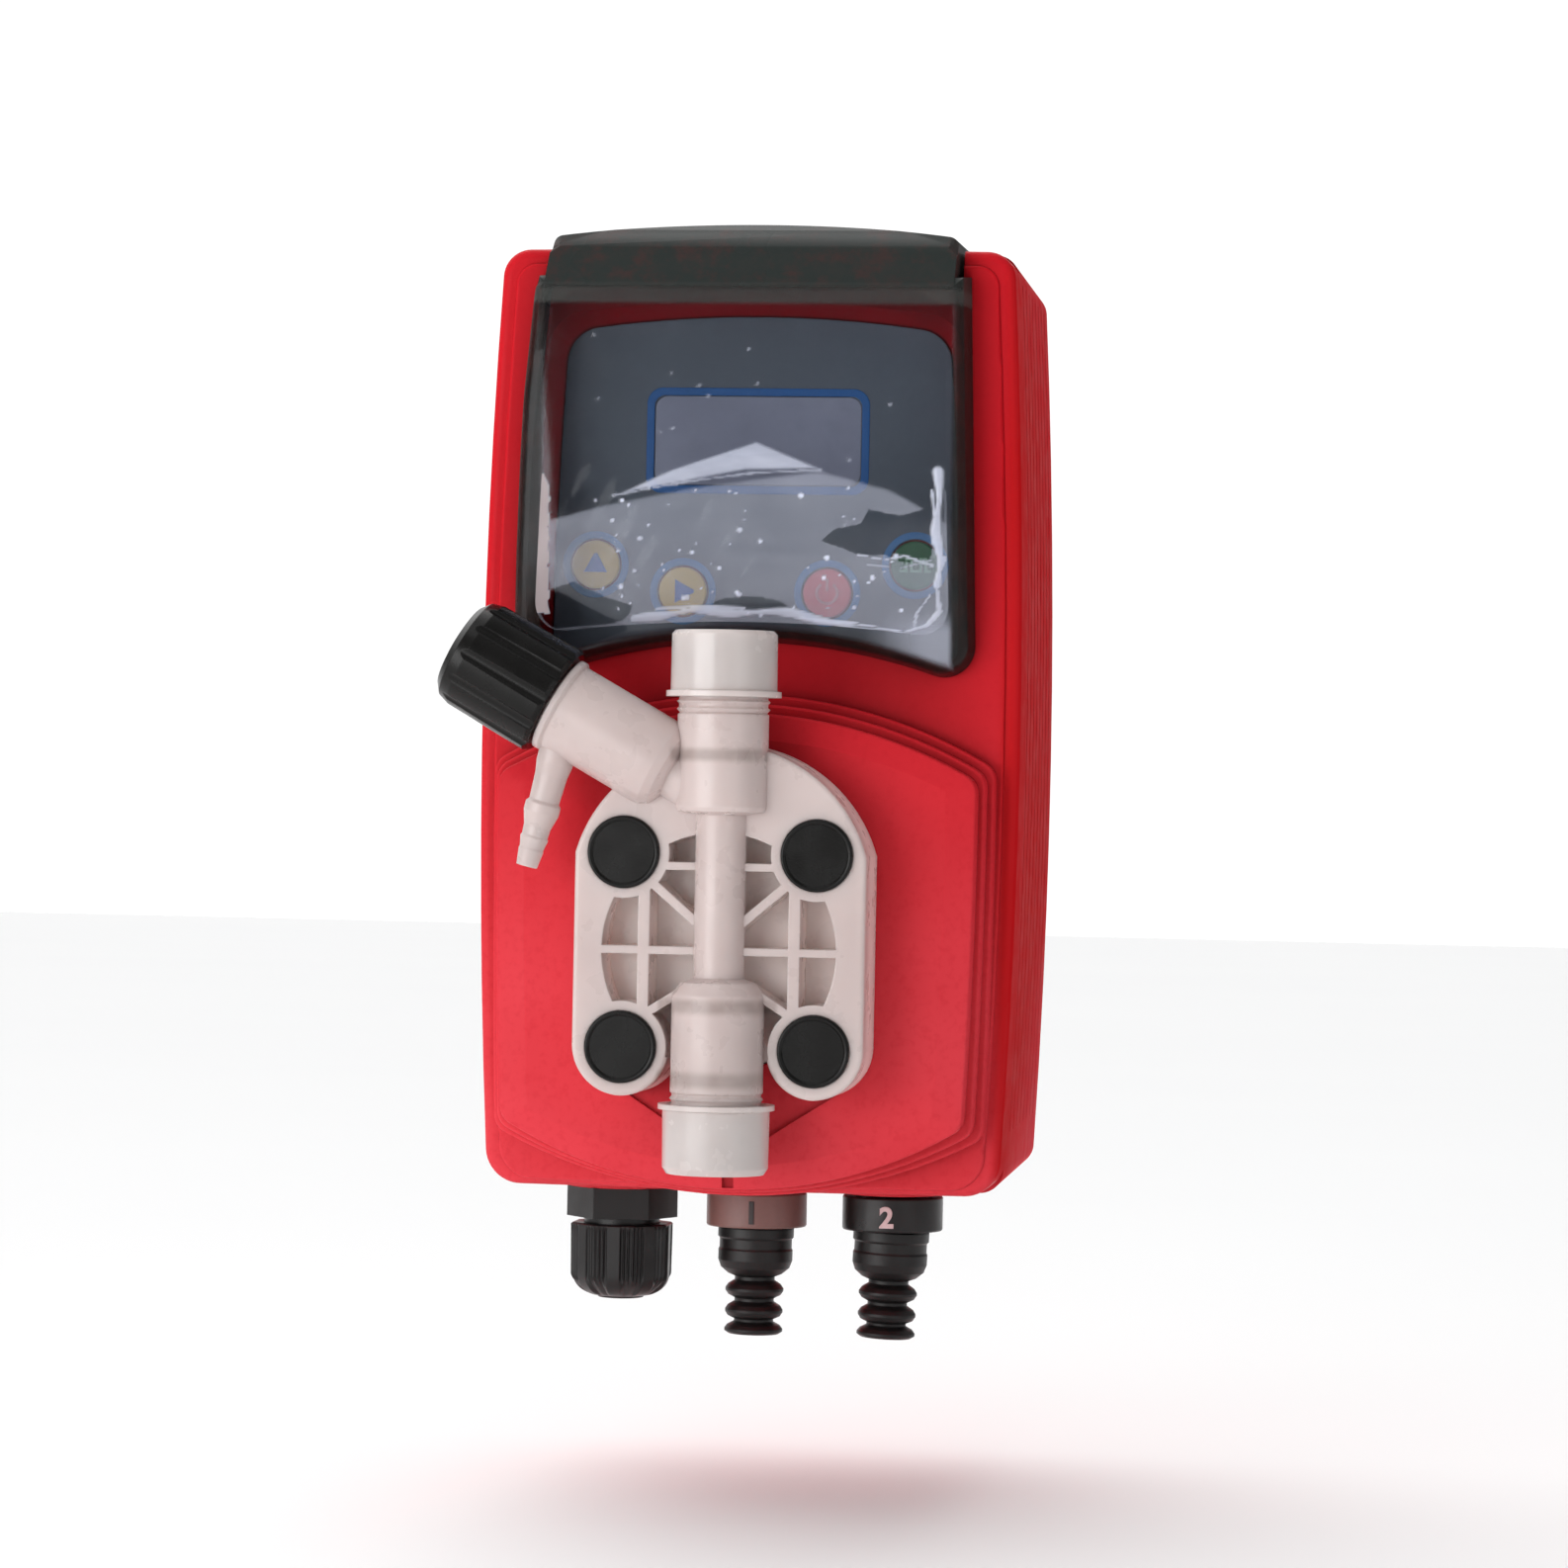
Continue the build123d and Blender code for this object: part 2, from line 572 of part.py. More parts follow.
# ------------------------------------------------------------- solenoid drive
with BuildPart() as solenoid_yoke:
    with BuildSketch(front(30.0)):
        with Locations((0, HEAD_Z)):
            Rectangle(55.0, 54.0)
    extrude(amount=4.0)
    with BuildSketch(front(34.0)):
        with Locations((25.5, HEAD_Z), (-25.5, HEAD_Z)):
            Rectangle(4.0, 44.0)
    extrude(amount=50.0)
    with BuildSketch(front(84.0)):
        with Locations((0, HEAD_Z)):
            Rectangle(55.0, 54.0)
        with Locations((0, HEAD_Z)):
            Circle(5.5, mode=Mode.SUBTRACT)
        with Locations(*HEAD_BOLTS):
            Circle(2.5, mode=Mode.SUBTRACT)
    extrude(amount=8.0)

with BuildPart() as coil_bobbin:
    with BuildSketch(front(34.0)):
        with Locations((0, HEAD_Z)):
            Circle(12.0)
            Circle(10.3, mode=Mode.SUBTRACT)
    extrude(amount=50.0)
    for d0 in (34.0, 82.0):
        with BuildSketch(front(d0)):
            with Locations((0, HEAD_Z)):
                Circle(22.5)
                Circle(10.3, mode=Mode.SUBTRACT)
        extrude(amount=2.0)

with BuildPart() as coil_winding:
    with BuildSketch(front(36.0)):
        with Locations((0, HEAD_Z)):
            Circle(20.5)
            Circle(12.0, mode=Mode.SUBTRACT)
    extrude(amount=46.0)

with BuildPart() as armature:
    with BuildSketch(front(44.0)):
        with Locations((0, HEAD_Z)):
            Circle(9.9)
    extrude(amount=32.0)
    chamfer(armature.edges().filter_by(GeomType.CIRCLE), length=0.8)
    with BuildSketch(front(60.0)):
        with Locations((0, HEAD_Z)):
            Circle(3.0)
    extrude(amount=20.0, mode=Mode.SUBTRACT)

with BuildPart() as push_rod:
    with BuildSketch(front(60.0)):
        with Locations((0, HEAD_Z)):
            Circle(3.0)
    extrude(amount=48.6)

with BuildPart() as diaphragm_core:
    with BuildSketch(front(108.6)):
        with Locations((0, HEAD_Z)):
            Circle(8.5)
    extrude(amount=1.7)
    chamfer(diaphragm_core.faces().sort_by(Axis.Y)[-1].edges(), length=0.5)

with BuildPart() as guide_bush:
    with BuildSketch(front(84.0)):
        with Locations((0, HEAD_Z)):
            Circle(5.5)
            Circle(3.05, mode=Mode.SUBTRACT)
    extrude(amount=14.0)
    with BuildSketch(front(92.0)):
        with Locations((0, HEAD_Z)):
            Circle(8.0)
            Circle(3.05, mode=Mode.SUBTRACT)
    extrude(amount=2.0)

with BuildPart() as return_spring:
    with BuildLine() as coil:
        Helix(pitch=1.6, height=6.4, radius=4.4, center=(0, -76.8, HEAD_Z), direction=(0, -1, 0))
    with BuildSketch(Plane(origin=coil.line @ 0, z_dir=coil.line % 0)):
        Circle(0.5)
    sweep(path=coil.line, is_frenet=True)

with BuildPart() as head_backplate:
    with BuildSketch(front(106.5)):
        with Locations((0, HEAD_Z)):
            Circle(DIA_R)
            Circle(9.6, mode=Mode.SUBTRACT)
    extrude(amount=3.9)
    # leak path to the bottom
    with BuildSketch(front(108.9)):
        with Locations((0, HEAD_Z - 16)):
            Rectangle(3.0, 14.0)
    extrude(amount=3.0, mode=Mode.SUBTRACT)

with BuildPart() as diaphragm:
    with BuildSketch(front(110.4)):
        with Locations((0, HEAD_Z)):
            Circle(DIA_R)
    extrude(amount=1.6)
    # rolled groove on the back
    with BuildSketch(front(110.4)):
        with Locations((0, HEAD_Z)):
            Circle(14.5)
            Circle(11.5, mode=Mode.SUBTRACT)
    extrude(amount=0.6, mode=Mode.SUBTRACT)

# ------------------------------------------------------------- pump head
with BuildPart() as pump_head:
    extrude(head_outline(HEAD_D0), amount=HEAD_D1 - HEAD_D0)
    fillet(pump_head.faces().sort_by(Axis.Y)[0].edges(), radius=0.8)
    # ribbed recess round the centre
    with BuildSketch(front(RECESS_D)) as recess:
        with Locations((0, HEAD_Z)):
            Circle(RECESS_R)
        with Locations(*HEAD_BOLTS):
            Circle(BOSS_R, mode=Mode.SUBTRACT)
        # ribs stay
        with Locations((14.3, HEAD_Z), (-14.3, HEAD_Z)):
            Rectangle(2.2, 60, mode=Mode.SUBTRACT)
        with Locations((0, HEAD_Z), (0, -28.4)):
            Rectangle(60, 1.5, mode=Mode.SUBTRACT)
        for sx in (-1, 1):
            with BuildLine():
                Polyline((sx * 4.0, -40.3), (sx * 13.4, -32.3), (sx * 12.3, -31.0), (sx * 3.0, -39.0), close=True)
            make_face(mode=Mode.SUBTRACT)
            with BuildLine():
                Polyline((sx * 6.0, -50.4), (sx * 13.6, -55.2), (sx * 12.8, -56.6), (sx * 5.2, -51.8), close=True)
            make_face(mode=Mode.SUBTRACT)
    extrude(amount=20, mode=Mode.SUBTRACT)
    # valve column in front of the plate
    revolve(lathe(VALVE_O, (0, 0, 1), [
        (0, -76.4), (8.2, -76.4), (8.5, -75.4), (8.8, -75.0), (8.5, -74.6), (8.5, -73.8), (8.85, -73.4), (8.5, -73.0),
        (8.5, -72.4), (8.85, -72.0), (8.45, -71.5), (8.45, -71.0), (8.75, -70.8), (8.75, -52.6), (7.2, -50.2),
        (4.8, -49.4), (4.8, -18.6), (8.3, -18.0), (COL_R, -17.2), (COL_R, 0.2), (8.2, 0.5), (8.8, 1.2), (8.4, 1.6),
        (8.4, 2.2), (8.8, 2.6), (8.4, 3.0), (8.4, 3.8), (8.8, 4.3), (8.4, 4.8), (8.4, 8.0), (8.0, 9.0), (0, 9.0)]),
        axis=VALVE_AXIS)
    # bleed branch, its collar and the neck for the knob
    revolve(lathe(BLEED_O, BLEED_DIR, [
        (0, 4.0), (5.0, 4.0), (5.0, 10.6), (6.2, 11.0), (7.7, 12.0), (8.5, 13.6), (8.65, 15.5), (8.65, 34.6),
        (9.3, 35.2), (9.3, 36.3), (7.4, 36.3), (7.4, 46.0), (0, 46.0)]), axis=BLEED_AXIS)
    # hose tail
    revolve(lathe(BARB_O, BARB_DIR, [
        (0, 1.0), (3.6, 1.0), (3.5, 8.5), (3.1, 11.0), (2.9, 16.0), (3.4, 16.6), (3.4, 18.2), (2.6, 21.0), (2.5, 22.8),
        (2.7, 23.2), (2.3, 25.2), (2.4, 25.6), (2.0, 28.7), (0, 28.7)]), axis=BARB_AXIS)
    # valve bores
    revolve(lathe(VALVE_O, (0, 0, 1), [(0, -77), (5.6, -77), (5.6, -53.8), (2.2, -53.8), (2.2, -49.7), (0, -49.7)]),
            axis=VALVE_AXIS, mode=Mode.SUBTRACT)
    revolve(lathe(VALVE_O, (0, 0, 1), [(0, 10), (5.6, 10), (5.6, -8.4), (1.8, -8.4), (1.8, -39.0), (0, -39.0)]),
            axis=VALVE_AXIS, mode=Mode.SUBTRACT)
    # ports to the diaphragm chamber, and the chamber's dish
    for pz in (-51.8, -36.6):
        with BuildSketch(front(HEAD_D0)):
            with Locations((0, pz)):
                Circle(1.6)
        extrude(amount=VALVE_D - HEAD_D0, mode=Mode.SUBTRACT)
    with BuildSketch(front(HEAD_D0 - 1)):
        with Locations((0, HEAD_Z)):
            Circle(17.0)
    extrude(amount=3.4, mode=Mode.SUBTRACT)
    # bleed chamber with its cone seat, outlet through the hose tail
    revolve(lathe(BLEED_O, BLEED_DIR, [(0, 0), (1.3, 0), (1.3, 20.0), (4.8, 24.0), (4.8, 47.0), (0, 47.0)]),
            axis=BLEED_AXIS, mode=Mode.SUBTRACT)
    revolve(lathe(BARB_O, BARB_DIR, [(0, -1.0), (1.3, -1.0), (1.3, 29.0), (0, 29.0)]),
            axis=BARB_AXIS, mode=Mode.SUBTRACT)
    # screw holes: counterbore for head and cover
    with BuildSketch(front(HEAD_D0 - 1)):
        with Locations(*HEAD_BOLTS):
            Circle(2.75)
    extrude(amount=30, mode=Mode.SUBTRACT)
    with BuildSketch(front(119.6)):
        with Locations(*HEAD_BOLTS):
            Circle(SCREW_COVER_R + 0.03)
    extrude(amount=30, mode=Mode.SUBTRACT)

with BuildPart() as head_screws:
    for x, z in HEAD_BOLTS:
        with BuildSketch(front(119.6)):
            with Locations((x, z)):
                Circle(4.25)
        extrude(amount=5.0)
        with BuildSketch(front(122.0)):
            with Locations((x, z)):
                RegularPolygon(2.3, 6)
        extrude(amount=5.0, mode=Mode.SUBTRACT)
        with BuildSketch(front(86.0)):
            with Locations((x, z)):
                Circle(2.45)
        extrude(amount=33.6)

with BuildPart() as screw_covers:
    for x, z in HEAD_BOLTS:
        with BuildSketch(front(125.2)):
            with Locations((x, z)):
                Circle(SCREW_COVER_R)
        extrude(amount=3.3)
        with BuildSketch(front(124.9)):
            with Locations((x, z)):
                Circle(SCREW_COVER_R - 0.4)
                Circle(SCREW_COVER_R - 1.6, mode=Mode.SUBTRACT)
        extrude(amount=0.4)
    chamfer(screw_covers.faces().group_by(Axis.Y)[0].edges(), length=0.5)

# check valves: seat, ball, cage and rings, the same stack at both ends
with BuildPart() as suction_seat:
    revolve(lathe(VALVE_O, (0, 0, 1), tube_profile(1.9, 5.5, -67.6, -65.0)), axis=VALVE_AXIS)
with BuildPart() as suction_ball:
    with Locations((0, -VALVE_D, -65.0 + 1.49)):
        Sphere(2.4)
with BuildPart() as suction_cage:
    revolve(lathe(VALVE_O, (0, 0, 1), [(2.8, -65.0), (5.5, -65.0), (5.5, -55.6), (1.6, -55.6), (1.6, -59.6), (2.8, -59.6)]),
            axis=VALVE_AXIS)
with BuildPart() as suction_orings:
    revolve(ring_profile(VALVE_O, (0, 0, 1), 4.65, -54.7, 0.88), axis=VALVE_AXIS)
    revolve(ring_profile(VALVE_O, (0, 0, 1), 4.65, -68.5, 0.88), axis=VALVE_AXIS)
with BuildPart() as suction_insert:
    revolve(lathe(VALVE_O, (0, 0, 1), tube_profile(3.0, 5.5, -76.2, -69.4)), axis=VALVE_AXIS)
with BuildPart() as discharge_seat:
    revolve(lathe(VALVE_O, (0, 0, 1), tube_profile(1.9, 5.5, -6.6, -4.0)), axis=VALVE_AXIS)
with BuildPart() as discharge_ball:
    with Locations((0, -VALVE_D, -4.0 + 1.49)):
        Sphere(2.4)
with BuildPart() as discharge_cage:
    revolve(lathe(VALVE_O, (0, 0, 1), [(2.8, -4.0), (5.5, -4.0), (5.5, 8.6), (3.0, 8.6), (1.6, 5.0), (1.6, 1.4), (2.8, 1.4)]),
            axis=VALVE_AXIS)
with BuildPart() as discharge_oring:
    revolve(ring_profile(VALVE_O, (0, 0, 1), 4.65, -7.5, 0.88), axis=VALVE_AXIS)

# push-on protective caps of the two hose ports
with BuildPart() as discharge_cap:
    revolve(lathe(VALVE_O, (0, 0, 1), [
        (9.15, 3.5), (10.85, 3.5), (10.85, 4.6), (10.05, 4.7), (9.95, 15.3), (9.3, 16.0), (0, 16.0), (0, 14.7), (9.1, 14.7)]),
        axis=VALVE_AXIS)
with BuildPart() as suction_cap:
    revolve(lathe(VALVE_O, (0, 0, 1), [
        (9.2, -73.0), (11.0, -73.0), (11.0, -74.0), (10.1, -74.1), (10.0, -84.9), (9.2, -86.1), (0, -86.1), (0, -84.8), (9.15, -84.8)]),
        axis=VALVE_AXIS)

# ------------------------------------------------------------- bleed valve
with BuildPart() as bleed_spindle:
    revolve(lathe(BLEED_O, BLEED_DIR, [
        (0, 20.6), (0.9, 20.9), (2.9, 23.4), (3.0, 24.0), (3.0, 37.6), (4.5, 37.8), (4.5, 39.6), (3.0, 39.7), (3.0, 42.0),
        (4.5, 42.1), (4.5, 43.8), (3.0, 44.0), (3.0, 53.0), (0, 53.0)]), axis=BLEED_AXIS)
with BuildPart() as bleed_oring:
    revolve(ring_profile(BLEED_O, BLEED_DIR, 3.80, 40.85, 0.72), axis=BLEED_AXIS)

with BuildPart() as bleed_knob:
    knob_plane = Plane(origin=(BLEED_O[0] + BX * 36.8, -VALVE_D, BLEED_O[2] + BZ * 36.8), x_dir=(0, -1, 0), z_dir=BLEED_DIR)
    with BuildSketch(knob_plane):
        Circle(KNOB_R)
        with PolarLocations(KNOB_R + 1.3, 12):
            Circle(1.9, mode=Mode.SUBTRACT)
    extrude(amount=21.7)
    revolve(lathe(BLEED_O, BLEED_DIR, [
        (0, 36.8), (10.2, 36.8), (KNOB_R, 37.6), (KNOB_R - 0.25, 54.4), (10.0, 56.6), (8.4, 57.9), (6.0, 58.4), (0, 58.5)]),
        axis=BLEED_AXIS, mode=Mode.INTERSECT)
    revolve(lathe(BLEED_O, BLEED_DIR, [(0, 36.0), (7.85, 36.0), (7.85, 48.5), (3.0, 48.5), (3.0, 53.0), (0, 53.0)]),
            axis=BLEED_AXIS, mode=Mode.SUBTRACT)

# ------------------------------------------------------------- cable gland
GO = (GLAND_X, -UNDER_D, 0)
G_AXIS = Axis(GO, (0, 0, 1))
with BuildPart() as gland_body:
    with BuildSketch(Plane.XY.offset(-92.9)):
        with Locations((GLAND_X, -UNDER_D)):
            RegularPolygon(GLAND_AF / 2, 6, major_radius=False, rotation=8)
    extrude(amount=-6.1)
    revolve(lathe(GO, (0, 0, 1), [(0, -84.0), (7.9, -84.0), (7.9, -93.5), (0, -93.5)]), axis=G_AXIS)
    revolve(lathe(GO, (0, 0, 1), [(0, -98.5), (7.5, -98.5), (7.5, -106.6), (0, -106.6)]), axis=G_AXIS)
    revolve(lathe(GO, (0, 0, 1), [(0, -83.0), (5.0, -83.0), (5.0, -99.0), (6.0, -100.5), (6.0, -107.5), (0, -107.5)]),
            axis=G_AXIS, mode=Mode.SUBTRACT)
with BuildPart() as gland_locknut:
    with BuildSketch(Plane.XY.offset(-84.9)):
        with Locations((GLAND_X, -UNDER_D)):
            RegularPolygon(9.2, 6, major_radius=False)
            Circle(7.92, mode=Mode.SUBTRACT)
    extrude(amount=-4.3)
with BuildPart() as gland_seal:
    revolve(lathe(GO, (0, 0, 1), [(3.7, -101.2), (5.6, -101.2), (5.6, -108.4), (4.9, -109.4), (3.7, -109.4)]), axis=G_AXIS)
with BuildPart() as gland_nut:
    with BuildSketch(Plane.XY.offset(-100.0)):
        with Locations((GLAND_X, -UNDER_D)):
            RegularPolygon(10.0, 12, major_radius=False, rotation=4)
    extrude(amount=-15.0)
    revolve(lathe(GO, (0, 0, 1), [
        (0, -99.9), (10.4, -99.9), (10.4, -109.8), (9.9, -111.6), (8.6, -113.2), (6.6, -114.2), (4.4, -114.6), (4.4, -115.0), (0, -115.0)]),
        axis=G_AXIS, mode=Mode.INTERSECT)
    revolve(lathe(GO, (0, 0, 1), [(0, -99.0), (7.9, -99.0), (7.9, -107.6), (5.9, -109.9), (3.6, -110.6), (3.6, -116.0), (0, -116.0)]),
            axis=G_AXIS, mode=Mode.SUBTRACT)

# ------------------------------------------------------------- signal connectors
for tag, cx in (("input", INPUT_X), ("level", LEVEL_X)):
    co = (cx, -UNDER_D, 0)
    c_axis = Axis(co, (0, 0, 1))
    with BuildPart() as socket:
        revolve(lathe(co, (0, 0, 1), [
            (0, -84.5), (5.9, -84.5), (5.9, -87.2), (8.4, -87.2), (8.4, -89.15), (5.95, -89.15), (5.95, -92.9),
            (4.8, -92.9), (4.8, -99.0), (4.1, -99.0), (4.1, -91.5), (0.9, -91.5), (0.9, -90.0), (0, -90.0)]), axis=c_axis)
    socket.part.label = f"{tag}_socket"
    export_step(socket.part, f"parts/{tag}_socket.step")
    with BuildPart() as plug:
        revolve(lathe(co, (0, 0, 1), [
            (0, -109.4), (5.0, -109.4), (5.0, -100.4), (4.4, -100.4), (4.4, -99.5), (3.8, -99.5), (3.8, -93.6),
            (3.1, -93.6), (3.1, -99.0), (0.7, -99.0), (0.7, -92.4), (0, -92.4)]), axis=c_axis)
    plug.part.label = f"{tag}_plug"
    export_step(plug.part, f"parts/{tag}_plug.step")
    with BuildPart() as ring:
        revolve(lathe(co, (0, 0, 1), [(5.1, -93.3), (9.7, -93.3), (9.9, -93.6), (9.9, -99.7), (9.7, -100.0), (5.1, -100.0)]), axis=c_axis)
    ring.part.label = f"{tag}_ring"
    export_step(ring.part, f"parts/{tag}_ring.step")
    with BuildPart() as boot:
        revolve(lathe(co, (0, 0, 1), [
            (5.0, -100.4), (7.5, -100.4), (7.5, -102.2), (7.15, -102.6), (7.15, -104.4), (7.35, -104.8), (7.35, -106.8),
            (6.8, -108.3), (5.4, -109.5), (3.95, -110.1), (3.95, -110.8), (5.2, -111.6), (5.75, -112.4), (5.75, -112.9), (5.2, -113.7),
            (3.9, -114.4), (3.9, -115.0), (5.2, -115.8), (5.7, -116.6), (5.7, -117.1), (5.2, -117.9), (3.9, -118.5), (3.9, -119.0),
            (5.2, -119.7), (5.75, -120.4), (5.75, -120.9), (5.0, -121.4), (2.2, -121.5), (2.2, -109.4), (5.0, -109.4)]), axis=c_axis)
    boot.part.label = f"{tag}_boot"
    export_step(boot.part, f"parts/{tag}_boot.step")

# ------------------------------------------------------------- write the rest
for name, piece in {
    "rear_housing": rear_housing, "front_housing": front_housing, "housing_gasket": housing_gasket,
    "housing_screws": housing_screws, "wall_inserts": wall_inserts, "display_cover": display_cover,
    "cover_hinge_pins": cover_hinge_pins, "keypad_membrane": keypad_membrane, "lcd_window": lcd_window,
    "lcd_module": lcd_module, "control_pcb": control_pcb, "key_switches": key_switches, "power_pcb": power_pcb,
    "solenoid_yoke": solenoid_yoke, "coil_bobbin": coil_bobbin, "coil_winding": coil_winding, "armature": armature,
    "push_rod": push_rod, "diaphragm_core": diaphragm_core, "guide_bush": guide_bush, "return_spring": return_spring,
    "head_backplate": head_backplate, "diaphragm": diaphragm, "pump_head": pump_head, "head_screws": head_screws,
    "screw_covers": screw_covers, "suction_seat": suction_seat, "suction_ball": suction_ball, "suction_cage": suction_cage,
    "suction_orings": suction_orings, "suction_insert": suction_insert, "discharge_seat": discharge_seat,
    "discharge_ball": discharge_ball, "discharge_cage": discharge_cage, "discharge_oring": discharge_oring,
    "discharge_cap": discharge_cap, "suction_cap": suction_cap, "bleed_spindle": bleed_spindle,
    "bleed_oring": bleed_oring, "bleed_knob": bleed_knob, "gland_body": gland_body, "gland_locknut": gland_locknut,
    "gland_seal": gland_seal, "gland_nut": gland_nut,
}.items():
    piece.part.label = name
    export_step(piece.part, f"parts/{name}.step")
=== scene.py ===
import math
import random

import bmesh
import bpy
from mathutils import Matrix, Vector


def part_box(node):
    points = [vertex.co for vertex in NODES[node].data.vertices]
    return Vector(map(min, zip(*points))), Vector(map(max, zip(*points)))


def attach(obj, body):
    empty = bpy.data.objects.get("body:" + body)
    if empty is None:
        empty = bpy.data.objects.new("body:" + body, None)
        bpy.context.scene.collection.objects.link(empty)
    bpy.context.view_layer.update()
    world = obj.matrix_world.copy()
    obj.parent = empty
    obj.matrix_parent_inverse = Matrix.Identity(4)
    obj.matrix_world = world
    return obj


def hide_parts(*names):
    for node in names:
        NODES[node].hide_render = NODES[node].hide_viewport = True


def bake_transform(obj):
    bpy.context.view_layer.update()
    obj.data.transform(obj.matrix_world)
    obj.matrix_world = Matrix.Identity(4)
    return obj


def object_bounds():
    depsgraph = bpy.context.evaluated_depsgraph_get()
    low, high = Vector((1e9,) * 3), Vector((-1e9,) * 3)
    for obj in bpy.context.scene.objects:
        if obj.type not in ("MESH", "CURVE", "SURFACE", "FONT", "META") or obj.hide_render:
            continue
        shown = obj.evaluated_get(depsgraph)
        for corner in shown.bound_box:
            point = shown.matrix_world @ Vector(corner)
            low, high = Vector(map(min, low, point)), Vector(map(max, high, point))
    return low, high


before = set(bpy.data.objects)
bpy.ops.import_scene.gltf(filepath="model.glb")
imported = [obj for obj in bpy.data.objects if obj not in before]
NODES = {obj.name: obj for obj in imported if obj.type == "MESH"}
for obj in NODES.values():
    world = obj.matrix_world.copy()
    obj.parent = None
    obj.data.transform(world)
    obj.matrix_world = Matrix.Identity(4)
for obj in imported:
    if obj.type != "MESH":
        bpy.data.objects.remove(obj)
CAD_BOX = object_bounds()
scene = bpy.context.scene
MM = 0.001


# ---------------------------------------------------------------- node helpers

class Mat:
    """A material under construction: small helpers around one node tree."""

    def __init__(self, name):
        self.m = bpy.data.materials.new(name)
        self.m.use_nodes = True
        self.nt = self.m.node_tree
        self.nt.nodes.clear()
        self.out = self.add("ShaderNodeOutputMaterial")
        self.coord = self.add("ShaderNodeTexCoord").outputs["Object"]

    def add(self, kind, **props):
        n = self.nt.nodes.new(kind)
        for k, v in props.items():
            setattr(n, k, v)
        return n

    def set(self, socket, value):
        if hasattr(value, "is_output") and value.is_output:
            self.nt.links.new(value, socket)
        elif isinstance(value, (tuple, list)) and len(value) == 3 and socket.type == "RGBA":
            socket.default_value = (*value, 1.0)
        else:
            socket.default_value = value

    def math(self, op, a, b=0.0, c=None, clamp=False):
        n = self.add("ShaderNodeMath", operation=op, use_clamp=clamp)
        self.set(n.inputs[0], a)
        self.set(n.inputs[1], b)
        if c is not None:
            self.set(n.inputs[2], c)
        return n.outputs[0]

    def mix(self, f, a, b, kind="MIX"):
        n = self.add("ShaderNodeMix", data_type="RGBA", blend_type=kind)
        self.set(n.inputs["Factor"], f)
        self.set(n.inputs["A"], a)
        self.set(n.inputs["B"], b)
        return n.outputs["Result"]

    def ramp(self, v, a0, a1, b0=0.0, b1=1.0, smooth=True):
        n = self.add("ShaderNodeMapRange", interpolation_type="SMOOTHSTEP" if smooth else "LINEAR")
        for s, x in zip(n.inputs, (v, a0, a1, b0, b1)):
            self.set(s, x)
        return n.outputs[0]

    def xyz(self, v=None):
        n = self.add("ShaderNodeSeparateXYZ")
        self.set(n.inputs[0], self.coord if v is None else v)
        return n.outputs

    def scaled(self, s, at=(0, 0, 0), turn=(0, 0, 0)):
        n = self.add("ShaderNodeMapping")
        self.set(n.inputs["Vector"], self.coord)
        n.inputs["Scale"].default_value = s if isinstance(s, (tuple, list)) else (s, s, s)
        n.inputs["Location"].default_value = at
        n.inputs["Rotation"].default_value = turn
        return n.outputs[0]

    def noise(self, scale, detail=3.0, rough=0.55, vector=None, distortion=0.0):
        n = self.add("ShaderNodeTexNoise")
        self.set(n.inputs["Vector"], self.coord if vector is None else vector)
        n.inputs["Scale"].default_value = scale
        n.inputs["Detail"].default_value = detail
        n.inputs["Roughness"].default_value = rough
        n.inputs["Distortion"].default_value = distortion
        return n.outputs["Fac"]

    def voronoi(self, scale, feature="F1", vector=None, rand=1.0, out="Distance"):
        n = self.add("ShaderNodeTexVoronoi", feature=feature)
        self.set(n.inputs["Vector"], self.coord if vector is None else vector)
        n.inputs["Scale"].default_value = scale
        n.inputs["Randomness"].default_value = rand
        return n.outputs[out]

    def bevel(self, radius, samples=4):
        n = self.add("ShaderNodeBevel", samples=samples)
        n.inputs["Radius"].default_value = radius
        return n.outputs[0]

    def bump(self, height, distance, strength=1.0, normal=None):
        n = self.add("ShaderNodeBump")
        n.inputs["Strength"].default_value = strength
        n.inputs["Distance"].default_value = distance
        self.set(n.inputs["Height"], height)
        if normal is not None:
            self.set(n.inputs["Normal"], normal)
        return n.outputs[0]

    def principled(self, **values):
        p = self.add("ShaderNodeBsdfPrincipled")
        for k, v in values.items():
            self.set(p.inputs[k.replace("_", " ")], v)
        return p

    def finish(self, shader):
        self.nt.links.new(shader.outputs[0] if hasattr(shader, "outputs") else shader, self.out.inputs["Surface"])
        return self.m


def shade(c, k):
    return tuple(min(1.0, x * k) for x in c)


def plastic(name, colour, rough=0.45, var=0.06, grain=2600.0, depth=0.000012, mottle=0.07,
            large=28.0, edge=0.0003, tint=None, **extra):
    """Moulded plastic: slow colour drift from the mould's flow, a fine spark-eroded grain, softened edges."""
    k = Mat(name)
    slow = k.noise(large, 2.0)
    fine = k.noise(grain * 0.33, 2.0, 0.6)
    dark, light = shade(colour, 1 - mottle), shade(colour, 1 + mottle * 0.8)
    c = k.mix(k.ramp(slow, 0.3, 0.7), dark, light)
    c = k.mix(k.math("MULTIPLY", k.ramp(fine, 0.45, 0.75), 0.25), c, tint or shade(colour, 0.8))
    g = k.noise(grain, 2.0, 0.6)
    r = k.ramp(k.noise(170.0, 3.0), 0.3, 0.7, rough - var, rough + var)
    n = k.bump(g, depth, normal=k.bevel(edge) if edge else None)
    return k.finish(k.principled(Base_Color=c, Roughness=r, Normal=n, **extra))


